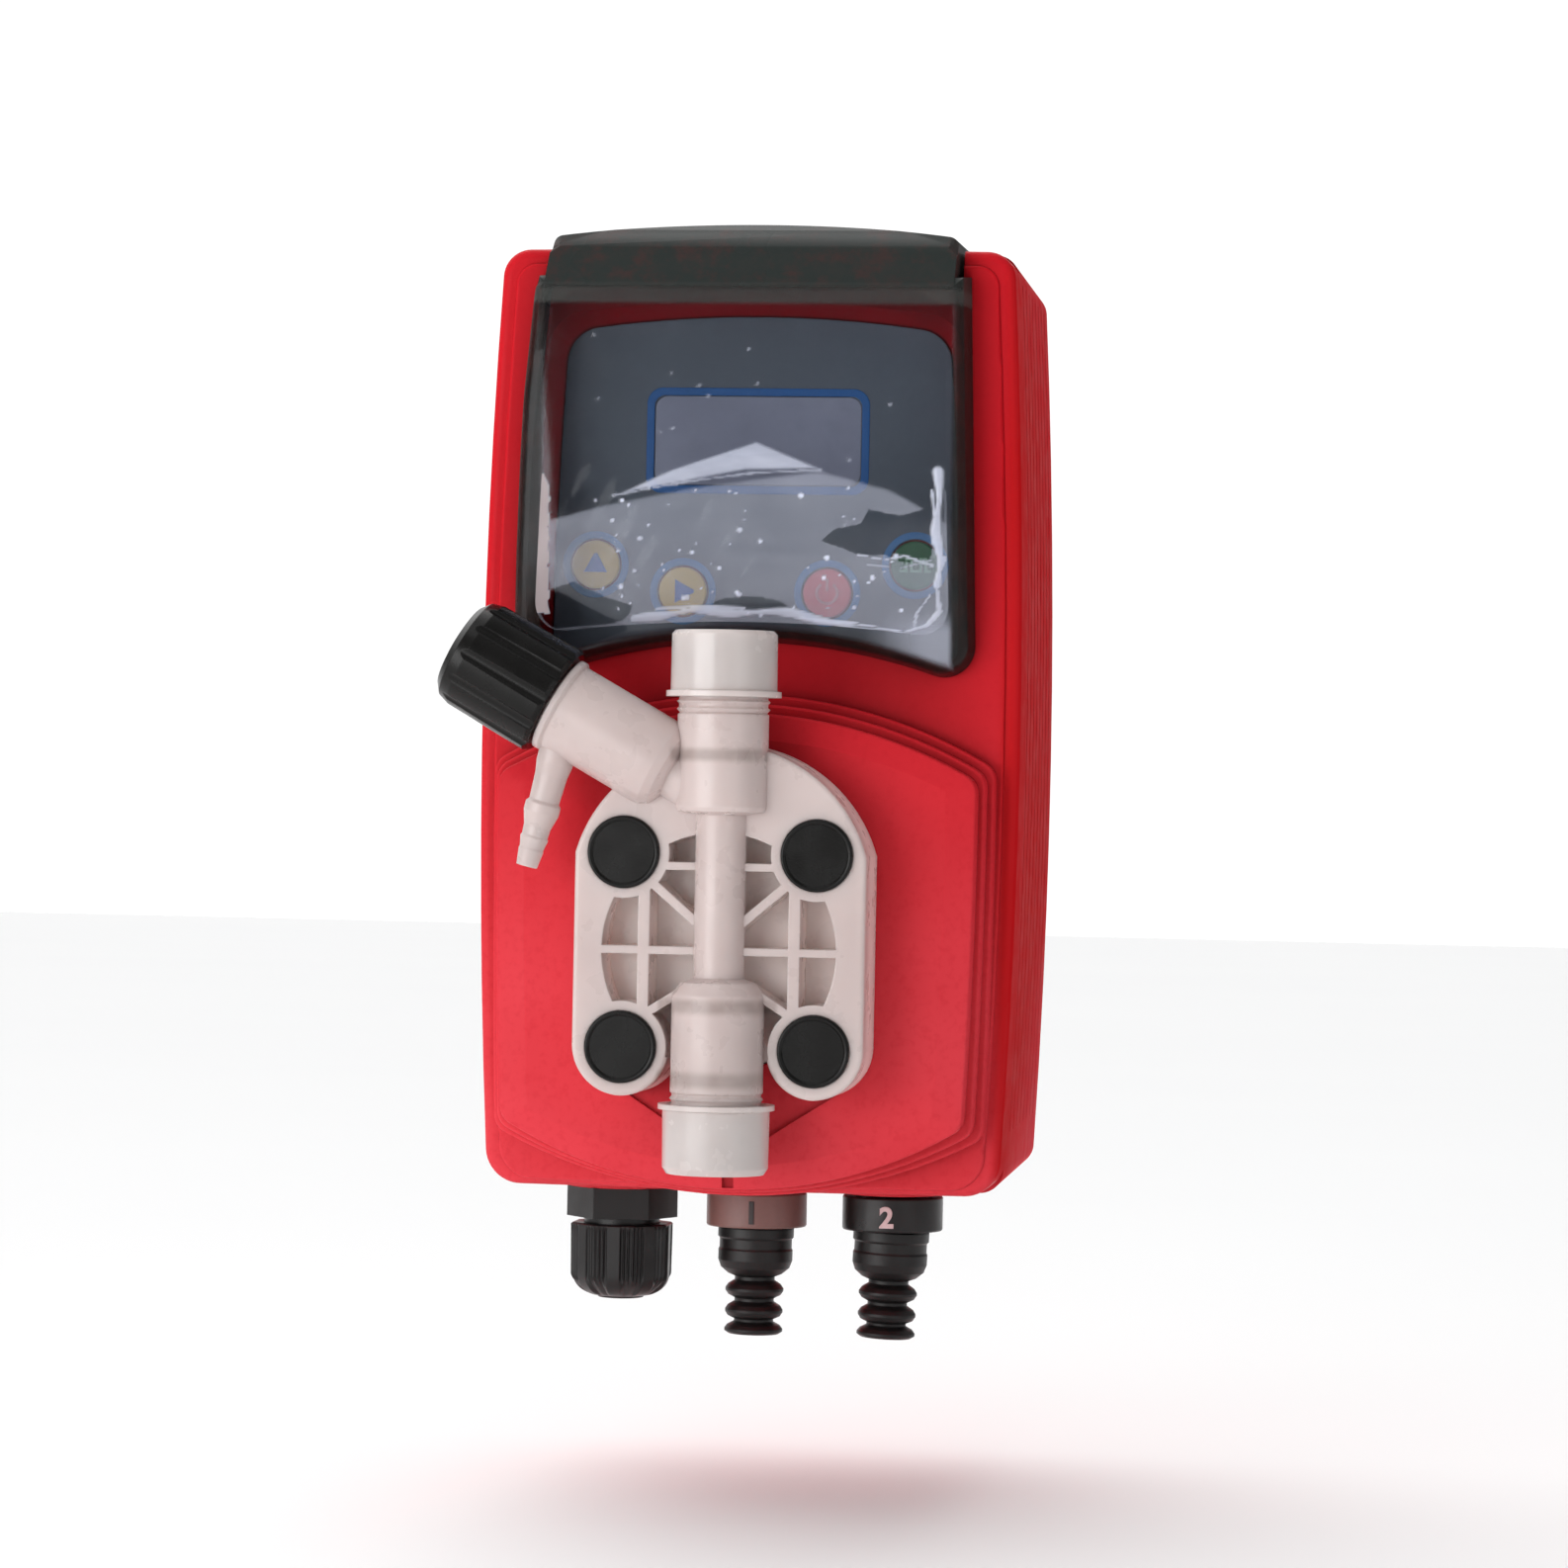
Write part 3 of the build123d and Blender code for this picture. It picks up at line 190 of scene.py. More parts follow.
def red_polyester(name, ior):
    """The case: red polyester with a fine moulded grain; painted light makes it a little paler low down, and painted
    shade darkens its corners, its creases and its right side wall.
    """
    k = Mat(name)
    x, y, z = k.xyz()
    slow, fine = k.noise(26.0, 2.0), k.noise(700.0, 2.0, 0.6)
    # painted light: paler towards the bottom, standing in for the stronger light falling there
    c = k.mix(k.ramp(z, 0.035, -0.080), (0.64, 0.011, 0.020), (0.77, 0.056, 0.074))
    # painted shade: the right side wall is painted darker
    c = k.mix(k.ramp(x, 0.0478, 0.0508), c, (0.58, 0.009, 0.012))
    c = k.mix(k.math("MULTIPLY", k.ramp(slow, 0.3, 0.7), 0.30), c, (0.60, 0.016, 0.024))
    c = k.mix(k.math("MULTIPLY", k.ramp(fine, 0.45, 0.75), 0.20), c, (0.54, 0.010, 0.018))
    # painted shade: ambient occlusion darkens corners, creases and the valley under the cover, more strongly higher up
    ao = k.add("ShaderNodeAmbientOcclusion", samples=6)
    ao.inputs["Distance"].default_value = 0.014
    painted_shade_strength = k.ramp(z, -0.06, 0.005, 0.30, 0.75)
    c = k.mix(k.math("MULTIPLY", k.ramp(ao.outputs["AO"], 0.3, 0.85, 1.0, 0.0), painted_shade_strength), c, (0.13, 0.003, 0.004))
    rough = k.ramp(k.noise(150.0, 3.0), 0.3, 0.7, 0.36, 0.48)
    nrm = k.bump(k.noise(1900.0, 2.0, 0.6), 0.000016, normal=k.bevel(0.0003))
    return k.finish(k.principled(Base_Color=c, Roughness=rough, Normal=nrm, IOR=ior))


def milky(name, colour, rough, bands=True):
    """Unpigmented polypropylene: light goes in and comes out elsewhere, the deep pockets are painted paler as painted
    light, seals show as grey bands.
    """
    k = Mat(name)
    x, y, z = k.xyz()
    slow = k.noise(38.0, 3.0, 0.6)
    cloud = k.noise(160.0, 2.0, 0.5)
    c = k.mix(k.ramp(slow, 0.3, 0.7), shade(colour, 0.95), (colour[0] * 1.05, colour[1] * 1.07, colour[2] * 1.07))
    c = k.mix(k.math("MULTIPLY", k.ramp(cloud, 0.5, 0.8), 0.12), c, shade(colour, 0.85))
    if bands:
        # painted light: the pocket floors are painted paler, standing in for light led in through the wall
        deep = k.ramp(y, -0.1272, -0.1195)
        c = k.mix(k.math("MULTIPLY", deep, 0.85), c, (1.0, 0.87, 0.83))
        wide = k.ramp(z, -0.03, -0.031, 0.0, 0.0024, smooth=False)      # the suction socket is wider than the collar
        ax = k.ramp(k.math("SUBTRACT", k.math("ABSOLUTE", x), wide), 0.0084, 0.0094, 1.0, 0.0)
        band = None
        for z0, w in ((-0.0074, 0.0011), (-0.0545, 0.0013), (-0.0683, 0.0013)):
            b = k.ramp(k.math("ABSOLUTE", k.math("SUBTRACT", z, z0)), w * 0.35, w * 1.7, 1.0, 0.0)
            band = b if band is None else k.math("MAXIMUM", band, b)
        below = k.ramp(z, -0.086, -0.05, 1.0, 0.0)
        tint = k.math("MULTIPLY", k.math("MULTIPLY", band, ax), k.ramp(cloud, 0.35, 0.65, 0.42, 0.62))
        c = k.mix(tint, c, (0.27, 0.205, 0.185))
        c = k.mix(k.math("MULTIPLY", k.math("MULTIPLY", below, ax), 0.18), c, (0.40, 0.37, 0.345))
    r = k.ramp(k.noise(170.0, 3.0), 0.3, 0.7, rough - 0.05, rough + 0.06)
    n = k.bump(k.noise(1300.0, 2.0, 0.6), 0.000006, normal=k.bevel(0.0004))
    return k.finish(k.principled(Base_Color=c, Roughness=r, Normal=n, Subsurface_Weight=0.45,
                                 Subsurface_Radius=(1.0, 0.8, 0.75), Subsurface_Scale=0.006))


def metal(name, colour, rough=0.3, brushed=(900.0, 900.0, 60.0), edge=0.0002, var=0.08):
    """Machined or plated metal: drawn-out scratches and a slightly uneven shine."""
    k = Mat(name)
    streak = k.noise(1.0, 3.0, 0.7, vector=k.scaled(brushed))
    c = k.mix(streak, shade(colour, 0.86), shade(colour, 1.08))
    r = k.ramp(streak, 0.25, 0.75, rough - var, rough + var)
    n = k.bump(streak, 0.000008, normal=k.bevel(edge))
    return k.finish(k.principled(Base_Color=c, Roughness=r, Normal=n, Metallic=1.0))


# ---------------------------------------------------------------- camera, light, floor

def camera():
    c = Vector((157.5, -1140.0, -12.6)) * MM
    t = Vector((6.4, -90.0, -12.6)) * MM
    f = (t - c).normalized()
    r = f.cross(Vector((0, 0, 1))).normalized()
    u = r.cross(f)
    roll = math.radians(1.1)
    x = r * math.cos(roll) + u * math.sin(roll)
    y = u * math.cos(roll) - r * math.sin(roll)
    data = bpy.data.cameras.new("camera")
    data.sensor_width = 36.0
    data.lens = 36.0 * 5.2 * (t - c).length / MM / 1586.0
    data.clip_start, data.clip_end = 0.01, 50.0
    o = bpy.data.objects.new("camera", data)
    o.matrix_world = Matrix((
        (x.x, y.x, -f.x, c.x), (x.y, y.y, -f.y, c.y), (x.z, y.z, -f.z, c.z), (0, 0, 0, 1)))
    scene.collection.objects.link(o)
    scene.camera = o


def area(name, at, towards, size, power, colour=(1, 1, 1)):
    d = bpy.data.lights.new(name, "AREA")
    d.shape = "RECTANGLE"
    d.size, d.size_y = size
    d.energy = power
    d.color = colour
    o = bpy.data.objects.new(name, d)
    o.location = at
    o.rotation_euler = (Vector(towards) - Vector(at)).to_track_quat("-Z", "Y").to_euler()
    scene.collection.objects.link(o)
    return o


def stage():
    low = CAD_BOX[0][2]
    me = bpy.data.meshes.new("floor")
    bm = bmesh.new()
    bmesh.ops.create_grid(bm, x_segments=8, y_segments=8, size=4.0)
    bm.to_mesh(me)
    bm.free()
    o = bpy.data.objects.new("floor", me)
    o.location = (0, 0, low - 0.03)        # the pump hangs on a wall, so the floor is well clear of it
    scene.collection.objects.link(o)
    k = Mat("floor_pale")
    c = k.mix(k.noise(3.0, 2.0), (0.93, 0.93, 0.935), (0.96, 0.96, 0.96))
    top = k.principled(Base_Color=c, Roughness=0.65)
    under = k.add("ShaderNodeBsdfTransparent")      # open from below, so that the underside can be looked at
    one_way = k.add("ShaderNodeMixShader")
    k.set(one_way.inputs[0], k.add("ShaderNodeNewGeometry").outputs["Backfacing"])
    k.set(one_way.inputs[1], top.outputs[0])
    k.set(one_way.inputs[2], under.outputs[0])
    o.data.materials.append(k.finish(one_way))

    w = bpy.data.worlds.new("studio")
    w.use_nodes = True
    nt = w.node_tree
    nt.nodes.clear()
    out = nt.nodes.new("ShaderNodeOutputWorld")
    bg = nt.nodes.new("ShaderNodeBackground")
    tc = nt.nodes.new("ShaderNodeTexCoord")
    sep = nt.nodes.new("ShaderNodeSeparateXYZ")
    nt.links.new(tc.outputs["Generated"], sep.inputs[0])
    ramp = nt.nodes.new("ShaderNodeMapRange")       # behind the object the studio is white, in front it is darker
    ramp.interpolation_type = "SMOOTHSTEP"
    ramp.inputs["From Min"].default_value = 0.3
    ramp.inputs["From Max"].default_value = 0.9
    ramp.inputs["To Min"].default_value = 0.0
    ramp.inputs["To Max"].default_value = 1.0
    nt.links.new(sep.outputs[1], ramp.inputs["Value"])
    up = nt.nodes.new("ShaderNodeMapRange")
    up.interpolation_type = "SMOOTHSTEP"
    up.inputs["From Min"].default_value = 0.15
    up.inputs["From Max"].default_value = 0.8
    nt.links.new(sep.outputs[2], up.inputs["Value"])
    back = nt.nodes.new("ShaderNodeMapRange")       # overhead the studio is bright towards the back
    back.inputs["From Min"].default_value = -0.3
    back.inputs["From Max"].default_value = 0.5
    back.inputs["To Min"].default_value = 0.4
    back.inputs["To Max"].default_value = 3.1
    nt.links.new(sep.outputs[1], back.inputs["Value"])
    over = nt.nodes.new("ShaderNodeMath")
    over.operation = "MULTIPLY"
    nt.links.new(up.outputs[0], over.inputs[0])
    nt.links.new(back.outputs[0], over.inputs[1])
    flag = nt.nodes.new("ShaderNodeMapRange")       # a dark flag on the right keeps the side wall from washing out
    flag.interpolation_type = "SMOOTHSTEP"
    flag.inputs["From Min"].default_value = 0.1
    flag.inputs["From Max"].default_value = 0.3
    flag.inputs["To Min"].default_value = 1.0
    flag.inputs["To Max"].default_value = 0.12
    nt.links.new(sep.outputs[0], flag.inputs["Value"])
    flagged = nt.nodes.new("ShaderNodeMath")
    flagged.operation = "MULTIPLY"
    nt.links.new(flag.outputs[0], flagged.inputs[1])
    big = nt.nodes.new("ShaderNodeMath")
    big.operation = "MAXIMUM"
    nt.links.new(ramp.outputs[0], big.inputs[0])
    nt.links.new(over.outputs[0], big.inputs[1])
    nt.links.new(big.outputs[0], flagged.inputs[0])
    mix = nt.nodes.new("ShaderNodeMix")
    mix.data_type = "RGBA"
    mix.clamp_factor = False
    mix.inputs["A"].default_value = (0.145, 0.15, 0.155, 1)
    mix.inputs["B"].default_value = (1.0, 1.0, 1.0, 1)
    nt.links.new(flagged.outputs[0], mix.inputs["Factor"])
    nt.links.new(mix.outputs["Result"], bg.inputs["Color"])
    bg.inputs["Strength"].default_value = 1.08
    nt.links.new(bg.outputs[0], out.inputs["Surface"])
    scene.world = w

    area("key", (-0.80, -1.20, 0.10), (0, -0.07, -0.02), (1.1, 0.5), 8.6)
    area("fill", (0.95, -1.05, 0.30), (0, -0.07, 0), (0.7, 0.6), 1.5)
    area("top", (-0.25, -0.75, 1.15), (0, -0.07, 0), (0.9, 0.6), 1.6)
    scene.view_settings.view_transform = "Standard"
    scene.view_settings.look = "None"


# ---------------------------------------------------------------- materials

RED = (0.66, 0.012, 0.021)


def make_materials():
    M = {}
    M["red"] = red_polyester("red_polyester", 1.14)
    M["red_side"] = red_polyester("red_polyester_walls", 1.015)
    M["black"] = plastic("black_nylon", (0.009, 0.0075, 0.0075), rough=0.34, var=0.07, mottle=0.15,
                         Specular_IOR_Level=0.42)
    M["knob"] = plastic("black_satin", (0.0055, 0.005, 0.0045), rough=0.25, var=0.05, mottle=0.1,
                        Specular_IOR_Level=0.22)
    M["rubber"] = plastic("black_rubber", (0.009, 0.0075, 0.0075), rough=0.42, var=0.07, grain=1500.0,
                          depth=0.00002, mottle=0.2, Specular_IOR_Level=0.38)
    M["ring_grey"] = plastic("ring_grey", (0.20, 0.105, 0.092), rough=0.42)
    M["white"] = milky("natural_polypropylene", (0.62, 0.51, 0.49), 0.30)
    M["cap"] = milky("natural_polyethylene", (0.68, 0.575, 0.55), 0.22, bands=False)
    M["ptfe"] = plastic("ptfe_rubber", (0.7, 0.69, 0.66), rough=0.5)
    M["film"] = plastic("membrane_film", (0.115, 0.13, 0.16), rough=0.38, grain=3000.0)
    M["lcd"] = plastic("display_pane", (0.36, 0.36, 0.45), rough=0.15, grain=900.0, depth=0.000002)
    M["yellow"] = plastic("key_yellow", (0.90, 0.56, 0.05), rough=0.4)
    M["redkey"] = plastic("key_red", (0.95, 0.10, 0.12), rough=0.4)
    M["green"] = plastic("key_green", (0.003, 0.13, 0.03), rough=0.4)
    M["pcb"] = plastic("board", (0.02, 0.12, 0.05), rough=0.35)
    M["ceramic"] = plastic("ceramic", (0.85, 0.83, 0.8), rough=0.12)
    M["steel"] = metal("screw_steel", (0.6, 0.6, 0.6), 0.3)
    M["zinc"] = metal("zinc_plate", (0.5, 0.51, 0.52), 0.4)
    M["copper"] = metal("copper_wire", (0.72, 0.33, 0.16), 0.32)
    M["brass"] = metal("brass_turned", (0.78, 0.58, 0.28), 0.28)
    M["nickel"] = metal("nickel_plate", (0.7, 0.68, 0.64), 0.22)

    M["blue"] = plastic("print_blue", (0.010, 0.125, 0.40), rough=0.4)
    M["ink"] = plastic("ink_blue", (0.03, 0.14, 0.55), rough=0.4)
    M["mark_white"] = plastic("ink_white", (0.75, 0.74, 0.74), rough=0.4)
    M["mark_pink"] = plastic("ink_pink", (0.9, 0.33, 0.33), rough=0.4)
    M["mark_pale"] = plastic("ink_pale_green", (0.25, 0.5, 0.3), rough=0.4)
    M["halo"] = plastic("print_pale_blue", (0.05, 0.22, 0.52), rough=0.4)
    M["ink_dark"] = plastic("number_dark", (0.03, 0.025, 0.025), rough=0.5)
    M["ink_pale"] = plastic("number_pale", (0.72, 0.55, 0.55), rough=0.5)

    # smoked polycarbonate: seen through face on, nearly black where it wraps over the case top
    k = Mat("smoked_cover")
    x, y, z = k.xyz()
    over = k.ramp(z, 0.0818, 0.0838)
    bend = k.math("POWER", k.math("MULTIPLY", x, 22.7), 2.0)
    above = k.math("SUBTRACT", z, k.math("SUBTRACT", 0.0147, k.math("MULTIPLY", bend, 0.0085)))
    rim = k.ramp(above, 0.0016, 0.0034, 1.0, 0.0)
    side = k.ramp(k.math("ABSOLUTE", x), 0.0392, 0.0406)
    deep = k.math("MAXIMUM", over, k.math("MULTIPLY", k.math("MAXIMUM", rim, side), 0.64))
    clear = k.mix(k.noise(60.0, 2.0), (0.80, 0.82, 0.84), (0.84, 0.86, 0.88))
    see_c = k.mix(deep, clear, (0.20, 0.19, 0.18))
    see = k.add("ShaderNodeBsdfTransparent")
    k.set(see.inputs[0], see_c)
    body = k.principled(Base_Color=k.mix(k.ramp(k.noise(260.0, 4.0, 0.7), 0.4, 0.65), (0.022, 0.027, 0.025),
                                         (0.052, 0.032, 0.028)),
                        Roughness=k.ramp(k.noise(25.0), 0.3, 0.7, 0.25, 0.35), Normal=k.bevel(0.0005),
                        Specular_IOR_Level=0.3)
    shine = k.add("ShaderNodeBsdfGlossy")
    k.set(shine.inputs["Roughness"], k.ramp(k.noise(25.0), 0.3, 0.7, 0.03, 0.07))
    k.set(shine.inputs["Normal"], k.bevel(0.0005))
    shine.inputs["Color"].default_value = (0.9, 0.93, 1.0, 1)
    fres = k.add("ShaderNodeFresnel")
    fres.inputs[0].default_value = 1.55
    back = k.add("ShaderNodeNewGeometry").outputs["Backfacing"]
    kept = k.math("MULTIPLY", fres.outputs[0], k.math("SUBTRACT", 1.0, k.math("MULTIPLY", back, 0.85)))
    kept = k.math("MULTIPLY", k.math("MULTIPLY", kept, 0.6), k.math("SUBTRACT", 1.0, k.math("MAXIMUM", k.math("MULTIPLY", side, 0.7), k.math("MULTIPLY", over, 0.95))))
    pane = k.add("ShaderNodeMixShader")
    k.set(pane.inputs[0], kept)
    k.set(pane.inputs[1], see.outputs[0])
    k.set(pane.inputs[2], shine.outputs[0])
    both = k.add("ShaderNodeMixShader")
    k.set(both.inputs[0], k.math("MULTIPLY", deep, 0.55))
    k.set(both.inputs[1], pane.outputs[0])
    k.set(both.inputs[2], body.outputs[0])
    # painted reflection: the lower right corner is painted a pale lavender
    corner = k.math("MULTIPLY", k.ramp(x, 0.022, 0.037), k.ramp(z, 0.0215, 0.0165))
    corner = k.math("MULTIPLY", corner, k.math("SUBTRACT", 1.0, k.math("MAXIMUM", rim, side)))
    painted_corner_reflection = k.principled(Base_Color=k.mix(k.noise(120.0, 2.0), (0.50, 0.53, 0.64), (0.58, 0.61, 0.72)), Roughness=0.3)
    # the top is an even dark green, with a greyer strip just under the crease
    band = k.math("MULTIPLY", k.ramp(z, 0.0790, 0.0802), k.math("SUBTRACT", 1.0, over))
    dull = k.mix(k.ramp(k.noise(190.0, 4.0, 0.7), 0.45, 0.7), (0.020, 0.027, 0.025), (0.045, 0.024, 0.022))
    lid = k.principled(Base_Color=k.mix(over, (0.085, 0.092, 0.086), dull), Roughness=0.5, Specular_IOR_Level=0.1)
    top = k.add("ShaderNodeMixShader")
    k.set(top.inputs[0], k.math("MAXIMUM", k.math("MULTIPLY", over, 0.75), k.math("MULTIPLY", band, 0.45)))
    k.set(top.inputs[1], both.outputs[0])
    k.set(top.inputs[2], lid.outputs[0])
    last = k.add("ShaderNodeMixShader")
    k.set(last.inputs[0], k.math("MULTIPLY", corner, 0.42))
    k.set(last.inputs[1], top.outputs[0])
    k.set(last.inputs[2], painted_corner_reflection.outputs[0])
    M["smoke"] = k.finish(last)

    # the film stuck on the cover: clear, with creases and bubbles, and a milky layer that carries painted reflections
    # and painted highlights
    k = Mat("film_clear")
    at = k.add("ShaderNodeAttribute", attribute_name="haze_and_painted_glare")
    streak = k.noise(1.0, 3.0, 0.6, vector=k.scaled((70.0, 70.0, 240.0)))
    haze_and_painted_glare = k.math("MULTIPLY", at.outputs["Fac"], k.ramp(streak, 0.2, 0.8, 0.86, 1.1), clamp=True)
    see = k.add("ShaderNodeBsdfTransparent")
    k.set(see.inputs[0], (0.985, 0.985, 0.99))
    shine = k.add("ShaderNodeBsdfGlossy")
    k.set(shine.inputs["Roughness"], k.ramp(streak, 0.3, 0.7, 0.04, 0.12))
    shine.inputs["Color"].default_value = (0.95, 0.96, 1.0, 1)
    fres = k.add("ShaderNodeFresnel")
    fres.inputs[0].default_value = 1.2
    pane = k.add("ShaderNodeMixShader")
    k.set(pane.inputs[0], fres.outputs[0])
    k.set(pane.inputs[1], see.outputs[0])
    k.set(pane.inputs[2], shine.outputs[0])
    # painted highlight: a brownish strip at the film's left edge, from a vertex attribute
    painted_tan_highlight = k.add("ShaderNodeAttribute", attribute_name="painted_beige_highlight").outputs["Fac"]
    haze_and_painted_glare = k.math("MAXIMUM", haze_and_painted_glare, painted_tan_highlight)
    # the pale lavender colour of the painted reflection and highlights, brownish where the left-edge highlight is
    # painted
    painted_glare_veil = k.principled(Base_Color=k.mix(painted_tan_highlight, k.mix(streak, (0.72, 0.76, 0.95), (0.82, 0.86, 1.0)),
                                         (0.44, 0.33, 0.30)), Roughness=0.35)
    both = k.add("ShaderNodeMixShader")
    k.set(both.inputs[0], haze_and_painted_glare)
    k.set(both.inputs[1], pane.outputs[0])
    k.set(both.inputs[2], painted_glare_veil.outputs[0])
    M["film_clear"] = k.finish(both)
    return M


USES = {
    "red": ["front_housing", "rear_housing"],
    "film": ["keypad_membrane"],
    "lcd": ["lcd_window"],
    "yellow": ["key_up", "key_right"],
    "redkey": ["key_red"],
    "green": ["key_green"],
    "white": ["pump_head", "suction_insert"],
    "cap": ["suction_cap", "discharge_cap", "suction_cage", "discharge_cage"],
    "knob": ["bleed_knob", "screw_covers"],
    "black": ["gland_body", "gland_nut", "gland_locknut", "input_socket", "level_socket", "input_plug",
              "level_plug", "level_ring", "head_backplate", "coil_bobbin", "lcd_module", "key_switches",
              "guide_bush", "bleed_spindle"],
    "rubber": ["input_boot", "level_boot", "gland_seal", "housing_gasket", "suction_orings",
               "discharge_oring", "bleed_oring"],
    "ring_grey": ["input_ring"],
    "ptfe": ["diaphragm"],
    "pcb": ["control_pcb", "power_pcb"],
    "ceramic": ["suction_ball", "discharge_ball", "suction_seat", "discharge_seat"],
    "steel": ["housing_screws", "head_screws", "cover_hinge_pins", "return_spring", "push_rod"],
    "zinc": ["solenoid_yoke", "armature", "diaphragm_core"],
    "copper": ["coil_winding"],
    "brass": ["wall_inserts"],
    "smoke": ["display_cover"],
}


def dress(M):
    for key, names in USES.items():
        for n in names:
            NODES[n].data.materials.clear()
            NODES[n].data.materials.append(M[key])
    for n in USES["red"]:
        me = NODES[n].data
        me.materials.append(M["red_side"])
        for p in me.polygons:
            if abs(p.normal.x) > 0.8:
                p.material_index = 1
    for n in set(NODES) - {n for names in USES.values() for n in names}:
        print("UNDRESSED", n)


# ---------------------------------------------------------------- mesh helpers

def obj_from(name, verts, faces, mat, smooth_angle=30.0, smooth=True):
    """A mesh object in the row frame from points in millimetres."""
    me = bpy.data.meshes.new(name)
    me.from_pydata([(x * MM, y * MM, z * MM) for x, y, z in verts], [], faces)
    me.validate()
    me.update()
    o = bpy.data.objects.new(name, me)
    scene.collection.objects.link(o)
    o.data.materials.append(mat)
    soften(me, smooth_angle, smooth)
    return o


def soften(me, angle=30.0, smooth=True):
    if "custom_normal" in me.attributes:
        me.attributes.remove(me.attributes["custom_normal"])
    me.polygons.foreach_set("use_smooth", [smooth] * len(me.polygons))
    if smooth:
        me.set_sharp_from_angle(angle=math.radians(angle))
    me.update()


def rows(name, grid, mat, closed=False, cap0=False, cap1=False, **kw):
    """Skin a list of equal rows of points. closed joins each row's ends."""
    n = len(grid[0])
    verts = [p for r in grid for p in r]
    faces = []
    for i in range(len(grid) - 1):
        for j in range(n if closed else n - 1):
            k = (j + 1) % n
            faces.append((i * n + j, i * n + k, (i + 1) * n + k, (i + 1) * n + j))
    if cap0:
        faces.append(tuple(range(n))[::-1])
    if cap1:
        faces.append(tuple((len(grid) - 1) * n + j for j in range(n)))
    return obj_from(name, verts, faces, mat, **kw)


def fix_normals(o):
    bm = bmesh.new()
    bm.from_mesh(o.data)
    bmesh.ops.recalc_face_normals(bm, faces=bm.faces)
    bm.to_mesh(o.data)
    bm.free()


def plate(name, outer, holes, d0, d1, mat):
    """A flat plate seen from the front between depths d0 and d1, from outlines of (x, z) points; one hole at most,
    with as many points as the outline."""
    if holes:
        n = len(outer)
        ring = []
        for d in (d0, d1):
            for pts in (outer, holes[0]):
                ring.append([(x, -d, z) for x, z in pts])
        o0, i0, o1, i1 = ring
        return_grid = [i0, o0, o1, i1, i0]
        verts = [p for r in return_grid[:4] for p in r]
        faces = []
        for i in range(4):
            for j in range(n):
                k = (j + 1) % n
                a, b = i * n, ((i + 1) % 4) * n
                faces.append((a + j, a + k, b + k, b + j))
        o = obj_from(name, verts, faces, mat)
    else:
        n = len(outer)
        verts = [(x, -d0, z) for x, z in outer] + [(x, -d1, z) for x, z in outer]
        faces = [tuple(range(n)), tuple(range(2 * n - 1, n - 1, -1))]
        faces += [(j, (j + 1) % n, n + (j + 1) % n, n + j) for j in range(n)]
        o = obj_from(name, verts, faces, mat)
    fix_normals(o)
    return o


def rounded(x0, x1, z0, z1, r, n=10):
    pts = []
    for cx, cz, a0 in ((x1 - r, z1 - r, 0), (x0 + r, z1 - r, 90), (x0 + r, z0 + r, 180), (x1 - r, z0 + r, 270)):
        for i in range(n + 1):
            a = math.radians(a0 + 90 * i / n)
            pts.append((cx + r * math.cos(a), cz + r * math.sin(a)))
    return pts


def circle(cx, cz, r, n=72):
    return [(cx + r * math.cos(2 * math.pi * i / n), cz + r * math.sin(2 * math.pi * i / n)) for i in range(n)]


def put(o, body, slot, *nodes):
    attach(o, body)
    if nodes:
        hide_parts(*nodes)
    return o


def node_copy(node, name):
    me = NODES[node].data.copy()
    me.name = name
    o = bpy.data.objects.new(name, me)
    scene.collection.objects.link(o)
    return o


# ---------------------------------------------------------------- smoked cover and its wrinkled film

COVER_D, COVER_BASE = 106.0, 96.7


def bow(z):
    """How far the lower part of the cover's face curves back."""
    return 2.4 * (max(0.0, 50.0 - z) / 35.0) ** 2


def is_outer(e):
    """An edge on the outside: both faces look away from the middle of the cover."""
    up = max(f.normal.z for f in e.link_faces)
    out = max(f.normal.x * (1 if e.verts[0].co.x > 0 else -1) for f in e.link_faces)
    return up > 0.7 and out > 0.7


